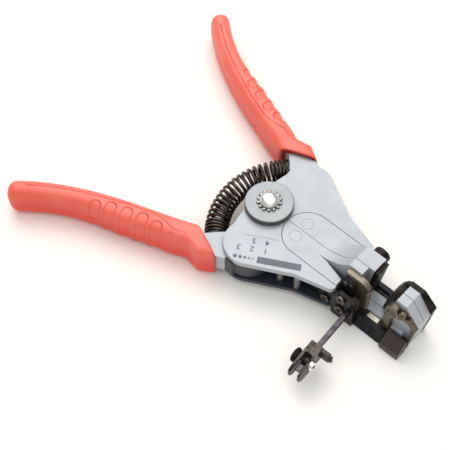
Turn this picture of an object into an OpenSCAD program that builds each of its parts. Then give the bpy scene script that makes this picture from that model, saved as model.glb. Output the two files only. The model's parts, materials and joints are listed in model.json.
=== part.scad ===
// Automatic wire stripper: two frame halves, two squeeze handles and two sliding jaws.
// X points from the main pivot to the jaws, Y to the gripping side, Z up from the table.

/* [Frame plates] */
// Height of the top plates' upper face above the table
body_top = 17.5; // [17:0.1:18.5]
// Thickness of each top plate
plate_t = 2.6; // [2.2:0.1:3]
// Thickness of each bottom plate
base_t = 2.2; // [1.8:0.1:2.5]
// Distance from the main pivot to the front edge of the plates
plate_reach = 44; // [42.5:0.1:45.5]
// Half width of the body at its front edge
front_half = 13.6; // [13.2:0.1:14.4]
// Distance of the waist from the main pivot
waist_x = 28; // [26:0.2:30]
// Half width of the body at the waist
waist_half = 17.6; // [17.2:0.1:18.6]
// Forward distance of a handle pin from the main pivot
hip_x = 5.5; // [5:0.1:6]
// Sideways distance of a handle pin from the main pivot
hip_y = 18.2; // [17.8:0.1:18.8]
// Radius of the rounded body corner around a handle pin
hip_r = 10.4; // [10:0.1:10.8]
// Gap between the two frame halves at the seam
seam_gap = 0.2; // [0.1:0.05:0.4]

/* [Main pivot] */
// Radius of the round pivot disc
disc_r = 10; // [9.7:0.1:10.3]
// Thickness of the pivot disc
disc_t = 2.9; // [2.2:0.1:3.4]
// Radius of the pivot pin
pivot_r = 4; // [3.5:0.1:4.4]
// Radius of the pin's head under the body
pivot_head_r = 7.8; // [6.5:0.1:8.6]
// Radius of the push-on cap over its teeth
cap_r = 5.3; // [4.8:0.1:5.8]
// Height of the push-on cap
cap_h = 3.3; // [2.8:0.1:3.8]

/* [Handles and grips] */
// Radius of a handle pin
hip_pin_r = 3; // [2.5:0.1:3.5]
// Thickness of a handle's neck
neck_t = 9.2; // [8.8:0.1:9.3]
// Thickness of a handle's boss between the plates
boss_t = 8.4; // [7.4:0.1:8.7]
// Height of a grip
grip_h = 17.2; // [16.8:0.1:18]
// Width of a grip where the hand holds it
grip_w = 11.6; // [10.8:0.1:12.4]
// Width of a grip near its tip
grip_tip_w = 9; // [8.4:0.1:9.6]
// Straight length of a grip behind its collar
grip_straight = 38; // [34:0.5:42]
// Length of the curved tip of a grip
grip_curve = 36; // [32:0.5:40]
// Radius of the tip's outward curve
grip_curve_r = 96; // [86:1:110]
// Angle between a grip and the body's axis
grip_angle = 20; // [18.5:0.5:21.5]
// Thickness of the steel cam plate in each handle
cam_t = 3; // [2.4:0.1:3.4]

/* [Jaw slides] */
// Half width of the two tongues
tongue_r = 10.4; // [10.2:0.1:10.6]
// Travel of the gripping slide
jaw_travel = 6.5; // [6:0.1:6.7]
// Travel of the blade slide
blade_travel = 8.1; // [7.6:0.1:8.3]
// Turn of a handle over the whole travel
squeeze_angle = 18; // [17:0.5:19]
// Height of the jaw blocks above the top plates
block_rise = 8.5; // [7.9:0.1:9.1]
// Width of the gripping slide's block
grip_block_w = 7.3; // [6.9:0.1:7.6]
// Radius of the ramp that rises to the blocks
ramp_r = 19.6; // [18.5:0.1:20.6]
// Radius of the flush pin in each tongue
slide_pin_r = 2.5; // [2.2:0.1:2.8]
// Radius of the drive stud under each tongue
stud_r = 1.4; // [1.2:0.05:1.5]
// Gap left between the blades when the handles are closed
blade_gap = 0.3; // [0.2:0.05:0.5]
// Gap left between the gripping jaws when the handles are closed
grip_gap = 0.9; // [0.7:0.1:1.2]

/* [Front arms] */
// Height of the arms' upper face
arm_top = 5.4; // [5.3:0.05:5.7]
// Width of each arm, front block and of the blade slide's block
arm_w = 4.1; // [3.9:0.1:4.2]
// Distance from the plates' front edge to the rear edge of the front blocks at the top
block_spacing = 23.2; // [22.8:0.1:23.8]
// Length of the front blocks down to their nose
front_block_l = 11.3; // [10.9:0.1:11.9]
// Thickness of the rear gripping plate
jaw_t = 2; // [1.8:0.1:2.3]
// Thickness of the stripping blades
blade_t = 2.4; // [2:0.1:2.5]

/* [Return spring] */
// Diameter of the spring wire
wire_d = 1.25; // [1:0.05:1.4]
// Outer diameter of the spring
spring_d = 10; // [9.6:0.1:10.2]
// Number of turns
spring_turns = 19; // [16:1:20]
// Radius of the spring's bend
spring_bend_r = 31; // [30.4:0.2:31.6]

/* [Length stop] */
// Radius of the gauge rod
rod_r = 1.2; // [1.1:0.05:1.3]
// Length of the rod
rod_len = 35; // [33:0.5:37]
// Forward tilt of the rod
rod_tilt = 3.2; // [2:0.2:5]
// Distance of the stop from the rod's foot
stop_at = 22.5; // [20:0.5:23]
// Reach of the stop finger beside the rod
finger_len = 7.6; // [6.5:0.1:9]

/* [Hidden] */

$fn = 64;
over = 1;
fit = 0.05;
gap = 0.1;
slide_gap = 0.25;
seam = seam_gap / 2;
silver = [0.72, 0.73, 0.76];
dark = [0.22, 0.19, 0.18];
bronze = [0.62, 0.52, 0.42];
salmon = [0.96, 0.42, 0.36];
chrome = [0.85, 0.86, 0.88];

// Levels
top_under = body_top - plate_t;
base_top = arm_top;
base_lift = arm_top - base_t;
cavity_mid = (top_under + base_top) / 2;
block_top = body_top + block_rise;
eye_r = disc_r - gap;
eye_gap = 0.15;
hip = [hip_x, hip_y];
front_block_x = plate_reach + block_spacing;

function polar(c, r, a) = [c[0] + r * cos(a), c[1] + r * sin(a)];
function arc_points(c, r, a0, a1, n) = [for (i = [0:n]) polar(c, r, a0 + (a1 - a0) * i / n)];
function mix(a, b, t) = a + (b - a) * t;
function smooth(t) = let (u = max(0, min(1, t))) u * u * (3 - 2 * u);
function unit(v) = v / norm(v);
function turned(v, a) = [v[0] * cos(a) - v[1] * sin(a), v[0] * sin(a) + v[1] * cos(a)];

module mirrored() { mirror([0, 1, 0]) children(); }
// Prism along Y from an outline in X and Z
module side_prism(outline, y0, y1) {
    translate([0, y1, 0]) rotate([90, 0, 0]) linear_extrude(y1 - y0) polygon(outline);
}
// Rod along +Y that starts at y0
module y_rod(x, z, r, y0, y1) {
    translate([x, y0, z]) rotate([-90, 0, 0]) cylinder(r = r, h = y1 - y0);
}
module slab(x0, x1, y0, y1, z0, z1) { translate([x0, y0, z0]) cube([x1 - x0, y1 - y0, z1 - z0]); }

// Frame plates
front_round = front_half * 0.17;
hip_front_angle = 57;
hip_rear_angle = 190;
eye_rear_angle = 130;
rear_edge = [polar(hip, hip_r, hip_rear_angle), polar([0, 0], eye_r, eye_rear_angle)];
plate_outline = concat(
    [[0, seam], [plate_reach, seam]],
    arc_points([plate_reach - front_round, front_half - front_round], front_round, 0, 72, 6),
    [[waist_x, waist_half]],
    arc_points(hip, hip_r, hip_front_angle, hip_rear_angle, 28),
    [mix(rear_edge[0], rear_edge[1], 1.25)]
);

// One plate of the right half; its eye is the upper or the lower lap of the main pivot
module lapped_plate(z0, t, upper_eye) {
    lap = (t - gap) / 2;
    eye_z = upper_eye ? z0 + t - lap : z0;
    clear_z = upper_eye ? z0 - over : z0 + lap;
    difference() {
        union() {
            difference() {
                translate([0, 0, z0]) linear_extrude(t) polygon(plate_outline);
                translate([0, 0, clear_z]) cylinder(r = eye_r + eye_gap, h = t - lap + over);
            }
            translate([0, 0, eye_z]) cylinder(r = eye_r, h = lap);
        }
        translate([0, 0, z0 - over]) cylinder(r = pivot_r + fit, h = t + 2 * over);
    }
}

// Levels and places of the jaw slides
tongue_x = disc_r + tongue_r + slide_gap;
tongue_end = plate_reach - 2 * slide_gap;
slide_floor = arm_top + gap;
block_rear_x = plate_reach * 1.005;
ramp_dx = sqrt(ramp_r * ramp_r - pow(ramp_r - block_rise, 2));
ramp_x = block_rear_x - ramp_dx;
ramp_angle = asin(ramp_dx / ramp_r);
guide_x = plate_reach * 0.7;
guide_y = tongue_r - fit;
wall_y = tongue_r + slide_gap + gap;
wall_t = front_half * 0.14;
wall_x = plate_reach * 0.65;
grip_lean = 0.137;
blade_lean = 0.1;

module tongue_cut() {
    translate([tongue_x, 0, top_under - over]) cylinder(r = tongue_r + slide_gap, h = plate_t + 2 * over);
    slab(tongue_x, 2 * plate_reach, -over, tongue_r + slide_gap, top_under - over, body_top + over);
}
hip_pin_depth = plate_t / 2;
module top_plate(upper_eye) {
    difference() {
        lapped_plate(top_under, plate_t, upper_eye);
        tongue_cut();
        translate([hip_x, hip_y, top_under - over])
            cylinder(r = hip_pin_r + fit, h = over + hip_pin_depth);
    }
}

// Front blocks: shares of the block's length and of its height above the arms
function front_x(u) = front_block_x + front_block_l * u;
function front_z(v) = arm_top + (block_top - arm_top) * v;
function front_points(shares) = [for (s = shares) [front_x(s[0]), front_z(s[1])]];
arm_rear_x = plate_reach * 0.55;
block_rear_share = -0.442;
toe_share = 0.823;
block_shares = [[block_rear_share, 0], [0, 1], [0.416, 1], [1, 0.583]];
block_outline = concat(
    front_points(block_shares), [[front_x(toe_share), 0], [front_x(block_rear_share), 0]]
);

module frame_half(upper_eye) {
    difference() {
        union() {
            lapped_plate(base_lift, base_t, upper_eye);
            slab(arm_rear_x, front_x(block_rear_share) + over, seam, arm_w, 0, arm_top);
            side_prism(block_outline, seam, arm_w);
        }
        translate([hip_x, hip_y, base_lift - over]) cylinder(r = hip_pin_r + fit, h = base_t + 2 * over);
    }
}
front_screw_share = [0.416, 0.806];
front_screw = [front_x(front_screw_share[0]), front_z(front_screw_share[1])];
front_screw_r = blade_t * 0.62;
grip_screw_shares = [[0.55, 0.25], [0.35, 0.62]];
screw_shank = arm_w * 0.22;
module left_frame() {
    color(silver) mirrored() difference() {
        union() {
            frame_half(false);
            slab(front_x(ledge_shares[0][0]), front_x(ledge_shares[1][0]), arm_w - over,
                arm_w + blade_t * 0.75, front_z(ledge_shares[0][1]), front_z(ledge_shares[1][1]));
        }
        y_rod(front_screw[0], front_screw[1], screw_shank + fit, arm_w / 3, arm_w + over);
    }
}
module right_frame() {
    color(silver) difference() {
        frame_half(true);
        for (s = grip_screw_shares)
            y_rod(front_x(s[0]), front_z(s[1]), screw_shank + fit, arm_w / 3, arm_w + over);
    }
}
module left_top_plate() { color(silver) mirrored() top_plate(false); }
module right_top_plate() { color(silver) top_plate(true); }

// Posts that tie each top plate to its bottom plate
post_r = waist_half * 0.095;
post_shares = [[0.65, 0.865], [0.487, 0.98]];
module posts() {
    for (s = post_shares) translate([s[0] * plate_reach, s[1] * waist_half, base_top])
        cylinder(r = post_r, h = top_under - base_top);
}
module left_posts() { color(dark) mirrored() posts(); }
module right_posts() { color(dark) posts(); }

// Main pivot
disc_z = body_top + gap;
pin_top = disc_z + disc_t;
neck_r = pivot_r * 0.7;
tip_h = cap_h * 0.5;
spacer_wall = pivot_r * 0.6;
head_z = 0;
module pivot_pin() {
    color(dark) union() {
        translate([0, 0, head_z]) cylinder(r = pivot_head_r, h = base_lift - gap - head_z);
        translate([0, 0, head_z]) cylinder(r = pivot_r, h = pin_top - head_z);
        translate([0, 0, head_z]) cylinder(r = neck_r, h = pin_top + tip_h - head_z);
    }
}
module pivot_disc() {
    chamfer = disc_t / 8;
    color(silver) difference() {
        translate([0, 0, disc_z]) rotate_extrude() polygon([
            [0, 0], [disc_r, 0], [disc_r, disc_t - chamfer], [disc_r - chamfer, disc_t], [0, disc_t]
        ]);
        translate([0, 0, disc_z - over]) cylinder(r = pivot_r + fit, h = disc_t + 2 * over);
    }
}
module pivot_spacer() {
    color(dark) difference() {
        translate([0, 0, base_top + gap])
            cylinder(r = pivot_r + fit + spacer_wall, h = top_under - base_top - 2 * gap);
        translate([0, 0, base_top]) cylinder(r = pivot_r + fit, h = top_under - base_top);
    }
}
cap_teeth = 14;
tooth_r = cap_r * 0.14;
module pivot_cap() {
    rim_h = cap_h * 0.22;
    dome_r = cap_r * 0.84;
    color(chrome) translate([0, 0, pin_top + fit]) difference() {
        union() {
            rotate_extrude() polygon(concat(
                [[0, 0], [cap_r - tooth_r, 0], [cap_r - tooth_r, rim_h], [dome_r, rim_h]],
                [for (i = [1:9]) let (a = 90 * i / 9) [dome_r * cos(a), rim_h + (cap_h - rim_h) * sin(a)]]
            ));
            for (i = [0:cap_teeth - 1]) rotate([0, 0, 360 * i / cap_teeth])
                translate([cap_r - tooth_r, 0, 0]) cylinder(r = tooth_r, h = rim_h, $fn = 24);
        }
        translate([0, 0, -over]) cylinder(r = neck_r + fit, h = tip_h + over + fit);
    }
}

// Return spring seats: the spring bends on an arc behind the pivot
handle_z = cavity_mid;
seat_angle = 46.5;
spring_cx = spring_bend_r - disc_r * 1.79;
seat = [spring_cx - spring_bend_r * cos(seat_angle), spring_bend_r * sin(seat_angle)];
seat_dir = [sin(seat_angle), cos(seat_angle)];
seat_side = [-seat_dir[1], seat_dir[0]];
seat_turn = 270 - seat_angle;
spigot_r = spring_d / 2 - wire_d * 1.5;
module seat_rod(r, back, ahead) {
    translate([seat[0] + seat_dir[0] * back, seat[1] + seat_dir[1] * back, handle_z])
        rotate([0, 90, seat_turn]) cylinder(r = r, h = back + ahead);
}

// Grip: centre line from the collar to the tip
grip_level_share = 0.847;
grip_z = max(grip_h / 2, handle_z * grip_level_share);
grip_root = seat + [-0.755, 0.708] * grip_w;
grip_len = grip_straight + grip_curve;
function grip_heading(s) = grip_angle + max(0, s - grip_straight) / grip_curve_r * 180 / PI;
function grip_point(s) = let (b = grip_heading(s), d = min(s, grip_straight)) [
    grip_root[0] - cos(grip_angle) * d - grip_curve_r * (sin(b) - sin(grip_angle)),
    grip_root[1] + sin(grip_angle) * d + grip_curve_r * (cos(grip_angle) - cos(b))
];
function grip_normal(s) = let (b = grip_heading(s)) [sin(b), cos(b)];
function grip_half(s) =
    mix(grip_w, grip_tip_w, smooth((s - grip_straight * 0.7) / (grip_len * 0.37))) / 2;
function grip_high(s) = grip_h / 2 * mix(1, 0.93, smooth(s / grip_len));
tip_steps = 5;
grip_sides = 28;
// Ring of a rounded section between an inner and an outer point
function ring(p_in, p_out, high, power) = [for (j = [0:grip_sides - 1])
    let (a = 360 * (j + 0.5) / grip_sides, c = cos(a), s = sin(a),
         u = sign(c) * pow(abs(c), 2 / power), v = sign(s) * pow(abs(s), 2 / power))
    [(p_in[0] + p_out[0]) / 2 + (p_out[0] - p_in[0]) / 2 * u,
     (p_in[1] + p_out[1]) / 2 + (p_out[1] - p_in[1]) / 2 * u, grip_z + high * v]];
function grip_ring(s, share_w, share_h, push) =
    let (c = grip_point(s), q = grip_normal(s), w = grip_half(s) * share_w,
         d = [-cos(grip_heading(s)) * push, sin(grip_heading(s)) * push])
    ring(c - q * w + d, c + q * w + d, grip_high(s) * share_h, 2.6);
// Collar: shares of the grip's width, counted from the grip's root
collar_in = grip_root + [0.103, -0.474] * grip_w;
collar_out = grip_root + [1.422, 0.069] * grip_w;
flare_in = grip_root + [0.009, -0.491] * grip_w;
flare_out = grip_root + [0.888, 0.422] * grip_w;
root_in = grip_root + [-0.19, -0.44] * grip_w;
root_out = grip_root + [0.207, 0.345] * grip_w;
grip_rings = concat(
    [ring(collar_in, collar_out, grip_h / 2 * 0.95, 5),
     ring(mix(collar_in, flare_in, 0.3), mix(collar_out, flare_out, 0.14), grip_h / 2, 5),
     ring(flare_in, flare_out, grip_h / 2, 4.4),
     ring(root_in, root_out, grip_h / 2 * 0.99, 3.2)],
    [for (i = [1:14]) grip_ring(grip_len * i / 14, 1, 1, 0)],
    [for (i = [1:tip_steps]) let (a = 84 * i / tip_steps)
        grip_ring(grip_len, cos(a), mix(1, cos(a), 0.8), grip_tip_w / 2 * sin(a))]
);
// Closed solid through a list of rings
module loft(rings) {
    n = len(rings[0]);
    m = len(rings);
    polyhedron(
        points = [for (r = rings) for (p = r) p],
        faces = concat(
            [for (i = [0:m - 2]) for (j = [0:n - 1]) let (k = (j + 1) % n)
                [i * n + j, i * n + k, (i + 1) * n + k]],
            [for (i = [0:m - 2]) for (j = [0:n - 1]) let (k = (j + 1) % n)
                [i * n + j, (i + 1) * n + k, (i + 1) * n + j]],
            [for (j = [1:n - 2]) [0, j + 1, j]],
            [for (j = [1:n - 2]) [(m - 1) * n, (m - 1) * n + j, (m - 1) * n + j + 1]]
        )
    );
}
// Tang and plug that carry the grip
tang_w = grip_w * 0.42;
tang_t = grip_h * 0.465;
module tang(grow) {
    q = grip_normal(0) * (tang_w / 2 + grow);
    a = grip_point(-grip_w * 0.75);
    b = grip_point(grip_straight * 0.92 + grow);
    translate([0, 0, grip_z - tang_t / 2 - grow]) linear_extrude(tang_t + 2 * grow)
        polygon([a - q, a + q, b + q, b - q]);
}
collar_dir = unit(collar_out - collar_in);
collar_back = [-collar_dir[1], collar_dir[0]];
function collar_at(share, back) = collar_in + collar_dir * grip_w * share + collar_back * grip_w * back;
plug_t = grip_h * 0.62;
module plug(grow) {
    p = collar_at(0.42, 0) - collar_dir * grow;
    q = collar_at(1.15, 0) + collar_dir * grow;
    deep = collar_back * (grip_w * 0.4 + grow);
    translate([0, 0, grip_z - plug_t / 2 - grow]) linear_extrude(plug_t + 2 * grow)
        polygon([p - collar_back * over, q - collar_back * over, q + deep * 0.35, p + deep]);
}
// Finger scallops: shares of the grip's length and of its half width
scallop_shares = [[0.161, 0.5], [0.251, 0.24], [0.346, 0.24], [0.441, 0.26], [0.53, 0.52]];
scallop_r = grip_w * 0.205;
scallop_depth = grip_h * 0.03;
scallop_steps = 11;
module scallops() {
    for (t = scallop_shares) {
        s = grip_len * t[0];
        c = grip_point(s) + grip_normal(s) * grip_half(s) * t[1];
        high = grip_high(s);
        for (z = [grip_z - high - over, grip_z + high - scallop_depth]) translate([c[0], c[1], z])
            rotate([0, 0, 90 - grip_heading(s)]) linear_extrude(scallop_depth + over) polygon(concat(
                arc_points([0, 0], scallop_r, 90, 270, scallop_steps),
                [[grip_w, -scallop_r], [grip_w, scallop_r]]
            ));
    }
}
// Open mouth of the collar, with a rim of the grip's own wall
mouth_wall = grip_w * 0.1;
module mouth(deep) {
    p = collar_in + collar_dir * mouth_wall;
    q = collar_out - collar_dir * mouth_wall;
    high = grip_h / 2 * 0.95 - mouth_wall;
    loft([ring(p - collar_back * over, q - collar_back * over, high, 5),
        ring(p + collar_back * deep, q + collar_back * deep, high, 5)]);
}
module grip() {
    color(salmon) difference() {
        loft(grip_rings);
        mouth(mouth_wall);
        tang(gap);
        plug(gap);
        seat_rod(spring_d / 2 + wire_d / 2, fit, spring_d / 2);
        scallops();
    }
}
module left_grip() { mirrored() grip(); }
module right_grip() { grip(); }

// Handles: the neck lies outside the body corner, the forked boss between the plates
neck_gap = hip_r * 0.043;
turn_r = hip_r + neck_gap;
boss_r = hip_r * 0.93;
cam_r = boss_r * 0.82;
cam_slot_t = cam_t + 2 * gap;
neck_outline = [
    hip, polar(hip, turn_r * 0.85, 174), seat - seat_side * spring_d * 0.55,
    seat + seat_side * spring_d * 0.53,
    collar_at(0.36, 0) - collar_back * gap, collar_at(1.34, 0) - collar_back * gap,
    polar(hip, turn_r + neck_gap, 104), polar(hip, turn_r + neck_gap, 88), polar(hip, turn_r * 0.85, 82)
];
// Drive stud and the path it takes in the turning handle
stud_shares = [0.7, 0.77];
stud = [disc_r + disc_r * stud_shares[0], tongue_r * stud_shares[1]];
slot_half = stud_r + fit + fit / 2;
cam_tip_r = slot_half + stud_r * 0.85;
path_steps = 12;
function slot_path(travel) = [for (i = [0:path_steps]) let (t = i / path_steps)
    hip + turned(stud + [travel * t, 0] - hip, -squeeze_angle * t)];
function along(path, i) =
    unit(path[min(i + 1, len(path) - 1)] - path[max(i - 1, 0)]);
function beside(path, i, w) = let (d = along(path, i)) path[i] + [-d[1], d[0]] * w;
module slot_band(path, w, z0, t) {
    n = len(path) - 1;
    translate([0, 0, z0]) linear_extrude(t) polygon(concat(
        [for (i = [0:n]) beside(path, i, w)], [for (i = [n:-1:0]) beside(path, i, -w)]));
    for (p = [path[0], path[n]]) translate([p[0], p[1], z0]) cylinder(r = w, h = t);
}
module cam_plate(travel) {
    z0 = handle_z - cam_t / 2;
    path = slot_path(travel);
    start = path[0];
    side = let (d = unit(start - hip)) [-d[1], d[0]];
    color(dark) difference() {
        union() {
            translate([hip_x, hip_y, z0]) cylinder(r = cam_r, h = cam_t);
            slot_band(path, cam_tip_r, z0, cam_t);
            translate([0, 0, z0]) linear_extrude(cam_t) polygon([
                hip + side * cam_r * 0.8, hip - side * cam_r * 0.8,
                start - side * cam_tip_r, start + side * cam_tip_r
            ]);
        }
        slot_band(path, slot_half, z0 - over, cam_t + 2 * over);
        translate([hip_x, hip_y, z0 - over]) cylinder(r = hip_pin_r + fit, h = cam_t + 2 * over);
        slab(-over, plate_reach, -plate_reach, seam, z0 - over, z0 + cam_t + over);
    }
}
module left_cam_plate() { mirrored() cam_plate(blade_travel); }
module right_cam_plate() { cam_plate(jaw_travel); }

module handle() {
    low = handle_z - neck_t / 2;
    boss_low = handle_z - boss_t / 2;
    cam_low = handle_z - cam_slot_t / 2;
    arm_angle = atan2(stud[1] - hip_y, stud[0] - hip_x);
    slot_half_w = cam_r + gap;
    slot_outline = concat(
        arc_points(hip, slot_half_w, arm_angle + 90, arm_angle + 270, 24),
        [hip + turned([boss_r + over, -slot_half_w], arm_angle),
         hip + turned([boss_r + over, slot_half_w], arm_angle)]
    );
    color(silver) difference() {
        union() {
            difference() {
                translate([0, 0, low]) linear_extrude(neck_t) polygon(neck_outline);
                translate([hip_x, hip_y, low - over]) cylinder(r = turn_r, h = neck_t + 2 * over);
            }
            intersection() {
                translate([0, 0, boss_low]) linear_extrude(boss_t) polygon(neck_outline);
                translate([hip_x, hip_y, boss_low]) cylinder(r = turn_r + fit, h = boss_t);
            }
            translate([hip_x, hip_y, boss_low]) cylinder(r = boss_r, h = boss_t);
            plug(0);
            tang(0);
            seat_rod(spigot_r, over, spring_d * 0.45);
        }
        translate([hip_x, hip_y, boss_low - over]) cylinder(r = hip_pin_r + fit, h = boss_t + 2 * over);
        translate([0, 0, cam_low]) linear_extrude(cam_slot_t) polygon(slot_outline);
    }
}
module left_handle() { mirrored() handle(); }
module right_handle() { handle(); }

module handle_pin() {
    head = base_lift * 0.5;
    color(dark) union() {
        translate([hip_x, hip_y, base_lift - gap - head]) cylinder(r = hip_pin_r * 1.35, h = head);
        translate([hip_x, hip_y, base_lift - gap - head])
            cylinder(r = hip_pin_r, h = top_under + hip_pin_depth - fit - base_lift + gap + head);
    }
}
module left_handle_pin() { mirrored() handle_pin(); }
module right_handle_pin() { handle_pin(); }

// Jaw slides
slide_pin = [disc_r * 1.73, tongue_r * 0.36];
foot_t = plate_t * 0.75;
lip = wall_t * 0.4;
lip_z = mix(slide_floor, top_under, 0.45);
lip_t = plate_t * 0.55;
front_jaw_shares = [
    [-0.655, 0.01], [-0.619, 0.155], [-0.513, 0.529], [-0.363, 0.767], [-0.204, 0.913], [-0.027, 0.995],
    [0.496, 0.995], [1.044, 0.723], [0.947, 0.228], [0.832, -0.243]
];
function ramp_outline(front_floor, lean) = concat(
    [[ramp_x, top_under]],
    [for (i = [0:10]) let (b = ramp_angle * i / 10)
        [ramp_x + ramp_r * sin(b), body_top + ramp_r * (1 - cos(b))]],
    [[front_floor + lean * (block_top - slide_floor), block_top], [front_floor, slide_floor],
     [guide_x, slide_floor], [guide_x, top_under]]
);
grip_floor_x = front_x(front_jaw_shares[0][0]) - jaw_travel - grip_gap - jaw_t;
blade_floor_x = grip_floor_x - arm_w * 0.46;
module jaw_slide(front_floor, lean, block_w, travel) {
    guide_end = plate_reach - travel;
    difference() {
        union() {
            translate([tongue_x, 0, top_under]) cylinder(r = tongue_r, h = plate_t);
            slab(tongue_x, tongue_end, 0, tongue_r, top_under, body_top);
            side_prism(ramp_outline(front_floor, lean), seam, block_w);
            slab(guide_x, guide_end, seam, guide_y, slide_floor, top_under);
            slab(guide_x, guide_end, seam, wall_y + lip, lip_z, lip_z + lip_t);
        }
        slab(0, plate_reach, -2 * tongue_r, seam, 0, body_top + over);
        translate([slide_pin[0], slide_pin[1], top_under - over])
            cylinder(r = slide_pin_r + fit, h = over + plate_t * 2);
    }
}
// Screws of the moving jaws
blade_y = arm_w + gap;
front_blade_share = -0.248;
blade_rear_x = plate_reach + 4 * slide_gap;
blade_edge_x = front_x(front_blade_share) - blade_travel - blade_gap;
clamp_x = blade_rear_x - gap;
clamp_end = mix(blade_rear_x, blade_edge_x, 0.52);
rear_screw_shares = [0.27, 0.75];
rear_screw_z = front_z(0.5);
function rear_screw_x(s) = mix(clamp_x, clamp_end, s);
side_screws = [
    [mix(block_rear_x, grip_floor_x, 0.82), front_z(0.78)], [block_rear_x - gap * 4, front_z(0.8)]
];
module left_jaw_slide() {
    notch_shares = [[0.68, 1.02], [1.1, 1.02], [1.1, 1.75], [1, 1.75], [0.765, 1.07]];
    color(silver) mirrored() difference() {
        jaw_slide(blade_floor_x, blade_lean, arm_w, blade_travel);
        translate([0, 0, top_under - over]) linear_extrude(plate_t + 2 * over)
            polygon([for (s = notch_shares) [s[0] * plate_reach, s[1] * arm_w]]);
        for (s = rear_screw_shares)
            y_rod(rear_screw_x(s), rear_screw_z, screw_shank + fit, arm_w / 3, arm_w + over);
    }
}
module right_jaw_slide() {
    color(silver) difference() {
        jaw_slide(grip_floor_x, grip_lean, grip_block_w, jaw_travel);
        for (s = side_screws) y_rod(s[0], s[1], screw_shank + fit, arm_w, grip_block_w + over);
    }
}
// Flush pin and the drive stud that it holds under the tongue
module slide_rivet() {
    color(dark) union() {
        translate([slide_pin[0], slide_pin[1], top_under - foot_t])
            cylinder(r = slide_pin_r * 0.6, h = foot_t + plate_t);
        translate([slide_pin[0], slide_pin[1], top_under]) cylinder(r = slide_pin_r, h = plate_t);
    }
}
module left_slide_pin() { mirrored() slide_rivet(); }
module right_slide_pin() { slide_rivet(); }
module drive_stud() {
    z0 = top_under - foot_t - gap;
    color(dark) difference() {
        union() {
            translate([slide_pin[0], slide_pin[1], z0]) cylinder(r = slide_pin_r, h = foot_t);
            slab(slide_pin[0] - slide_pin_r, slide_pin[0] + stud_r, slide_pin[1], stud[1], z0, z0 + foot_t);
            translate([stud[0], stud[1], handle_z - cam_t])
                cylinder(r = stud_r, h = z0 + foot_t - handle_z + cam_t);
        }
        translate([slide_pin[0], slide_pin[1], z0 - over])
            cylinder(r = slide_pin_r * 0.6 + fit, h = foot_t + 2 * over);
    }
}
module left_drive_stud() { mirrored() drive_stud(); }
module right_drive_stud() { drive_stud(); }

// Rails: a wall that guides the slide inside the body, and a foot beside the arm
rail_y = arm_w + blade_t + 3 * gap;
rail_top = arm_top - gap;
rail_out = wall_y + 4 * gap;
rod_y = rail_y + blade_t * 0.95;
bridge_x = plate_reach + gap;
bridge_end = plate_reach * 1.05;
rail_low = arm_top * 0.08;
head_share = 0.07;
rail_end_share = 0.867;
rod_block_x = bridge_end + gap;
rod_block_end = plate_reach * 1.24;
module rail(foot_end) {
    difference() {
        slab(wall_x, bridge_end, wall_y, wall_y + wall_t, base_top + gap, top_under - gap);
        slab(guide_x - over, bridge_end + over, wall_y - over, wall_y + lip + gap, lip_z - gap,
            lip_z + lip_t + gap);
    }
    slab(bridge_x, bridge_end, rod_y, wall_y + wall_t, rail_low, base_top + 3 * gap);
    rotate([90, 0, 90]) translate([0, 0, bridge_x]) linear_extrude(foot_end - bridge_x) polygon([
        [rail_y, rail_low], [rail_y, rail_top], [rod_y, rail_top], [rail_out, rail_low]
    ]);
}
module left_rail() {
    head_top = front_z(0.15);
    head_out = rail_out + blade_t * 0.4;
    color(dark) mirrored() difference() {
        union() {
            rail(front_x(rail_end_share));
            rotate([90, 0, 90]) translate([0, 0, front_x(head_share)])
                linear_extrude(front_x(rail_end_share) - front_x(head_share)) polygon([
                    [rail_y, rail_low], [rail_y, head_top], [rail_y + blade_t * 0.45, head_top],
                    [head_out, arm_top * 0.72], [head_out, rail_low]
                ]);
        }
        slab(rod_block_x - gap, rod_block_end + gap, rod_y, 2 * wall_y, -over, rail_top + over);
    }
}
module right_rail() { color(dark) rail(front_x(0.1)); }

// Rear blade and its clamp, on the blade slide's block
blade_top = front_z(0.937);
blade_low = front_z(0.126);
notch_shares = [[0.2, 0.13], [0.32, 0.18], [0.45, 0.24], [0.58, 0.31], [0.71, 0.39]];
module notches(x) {
    for (s = notch_shares)
        y_rod(x, front_z(s[0]), blade_t * s[1], blade_y - over, blade_y + blade_t + over);
}
clamp_y = blade_y + blade_t + gap;
clamp_t = blade_t * 0.8;
clamp_top = front_z(0.8);
rear_head_r = clamp_t * 0.62;
rear_head_y = clamp_y + clamp_t * 0.5;
module rear_blade() {
    cut = blade_t * 0.9;
    color(bronze) mirrored() difference() {
        side_prism([
            [blade_rear_x, blade_low], [blade_edge_x, blade_low], [blade_edge_x, blade_top - cut],
            [blade_edge_x - cut, blade_top - gap * 4], [blade_edge_x - cut * 1.7, blade_top],
            [blade_rear_x, blade_top]
        ], blade_y, blade_y + blade_t);
        notches(blade_edge_x);
        for (s = rear_screw_shares)
            y_rod(rear_screw_x(s), rear_screw_z, screw_shank + fit, 0, blade_y + blade_t + over);
    }
}
module rear_blade_clamp() {
    color(dark) mirrored() difference() {
        union() {
            slab(clamp_x, clamp_end, clamp_y, clamp_y + clamp_t, blade_low, clamp_top - clamp_t);
            intersection() {
                translate([clamp_x, clamp_y, clamp_top - clamp_t]) rotate([0, 90, 0])
                    cylinder(r = clamp_t, h = clamp_end - clamp_x);
                slab(clamp_x, clamp_end, clamp_y, clamp_y + clamp_t, blade_low, clamp_top);
            }
        }
        for (s = rear_screw_shares) {
            y_rod(rear_screw_x(s), rear_screw_z, screw_shank + fit, 0, 2 * clamp_y);
            y_rod(rear_screw_x(s), rear_screw_z, rear_head_r + fit, rear_head_y, 2 * clamp_y);
        }
    }
}
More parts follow.
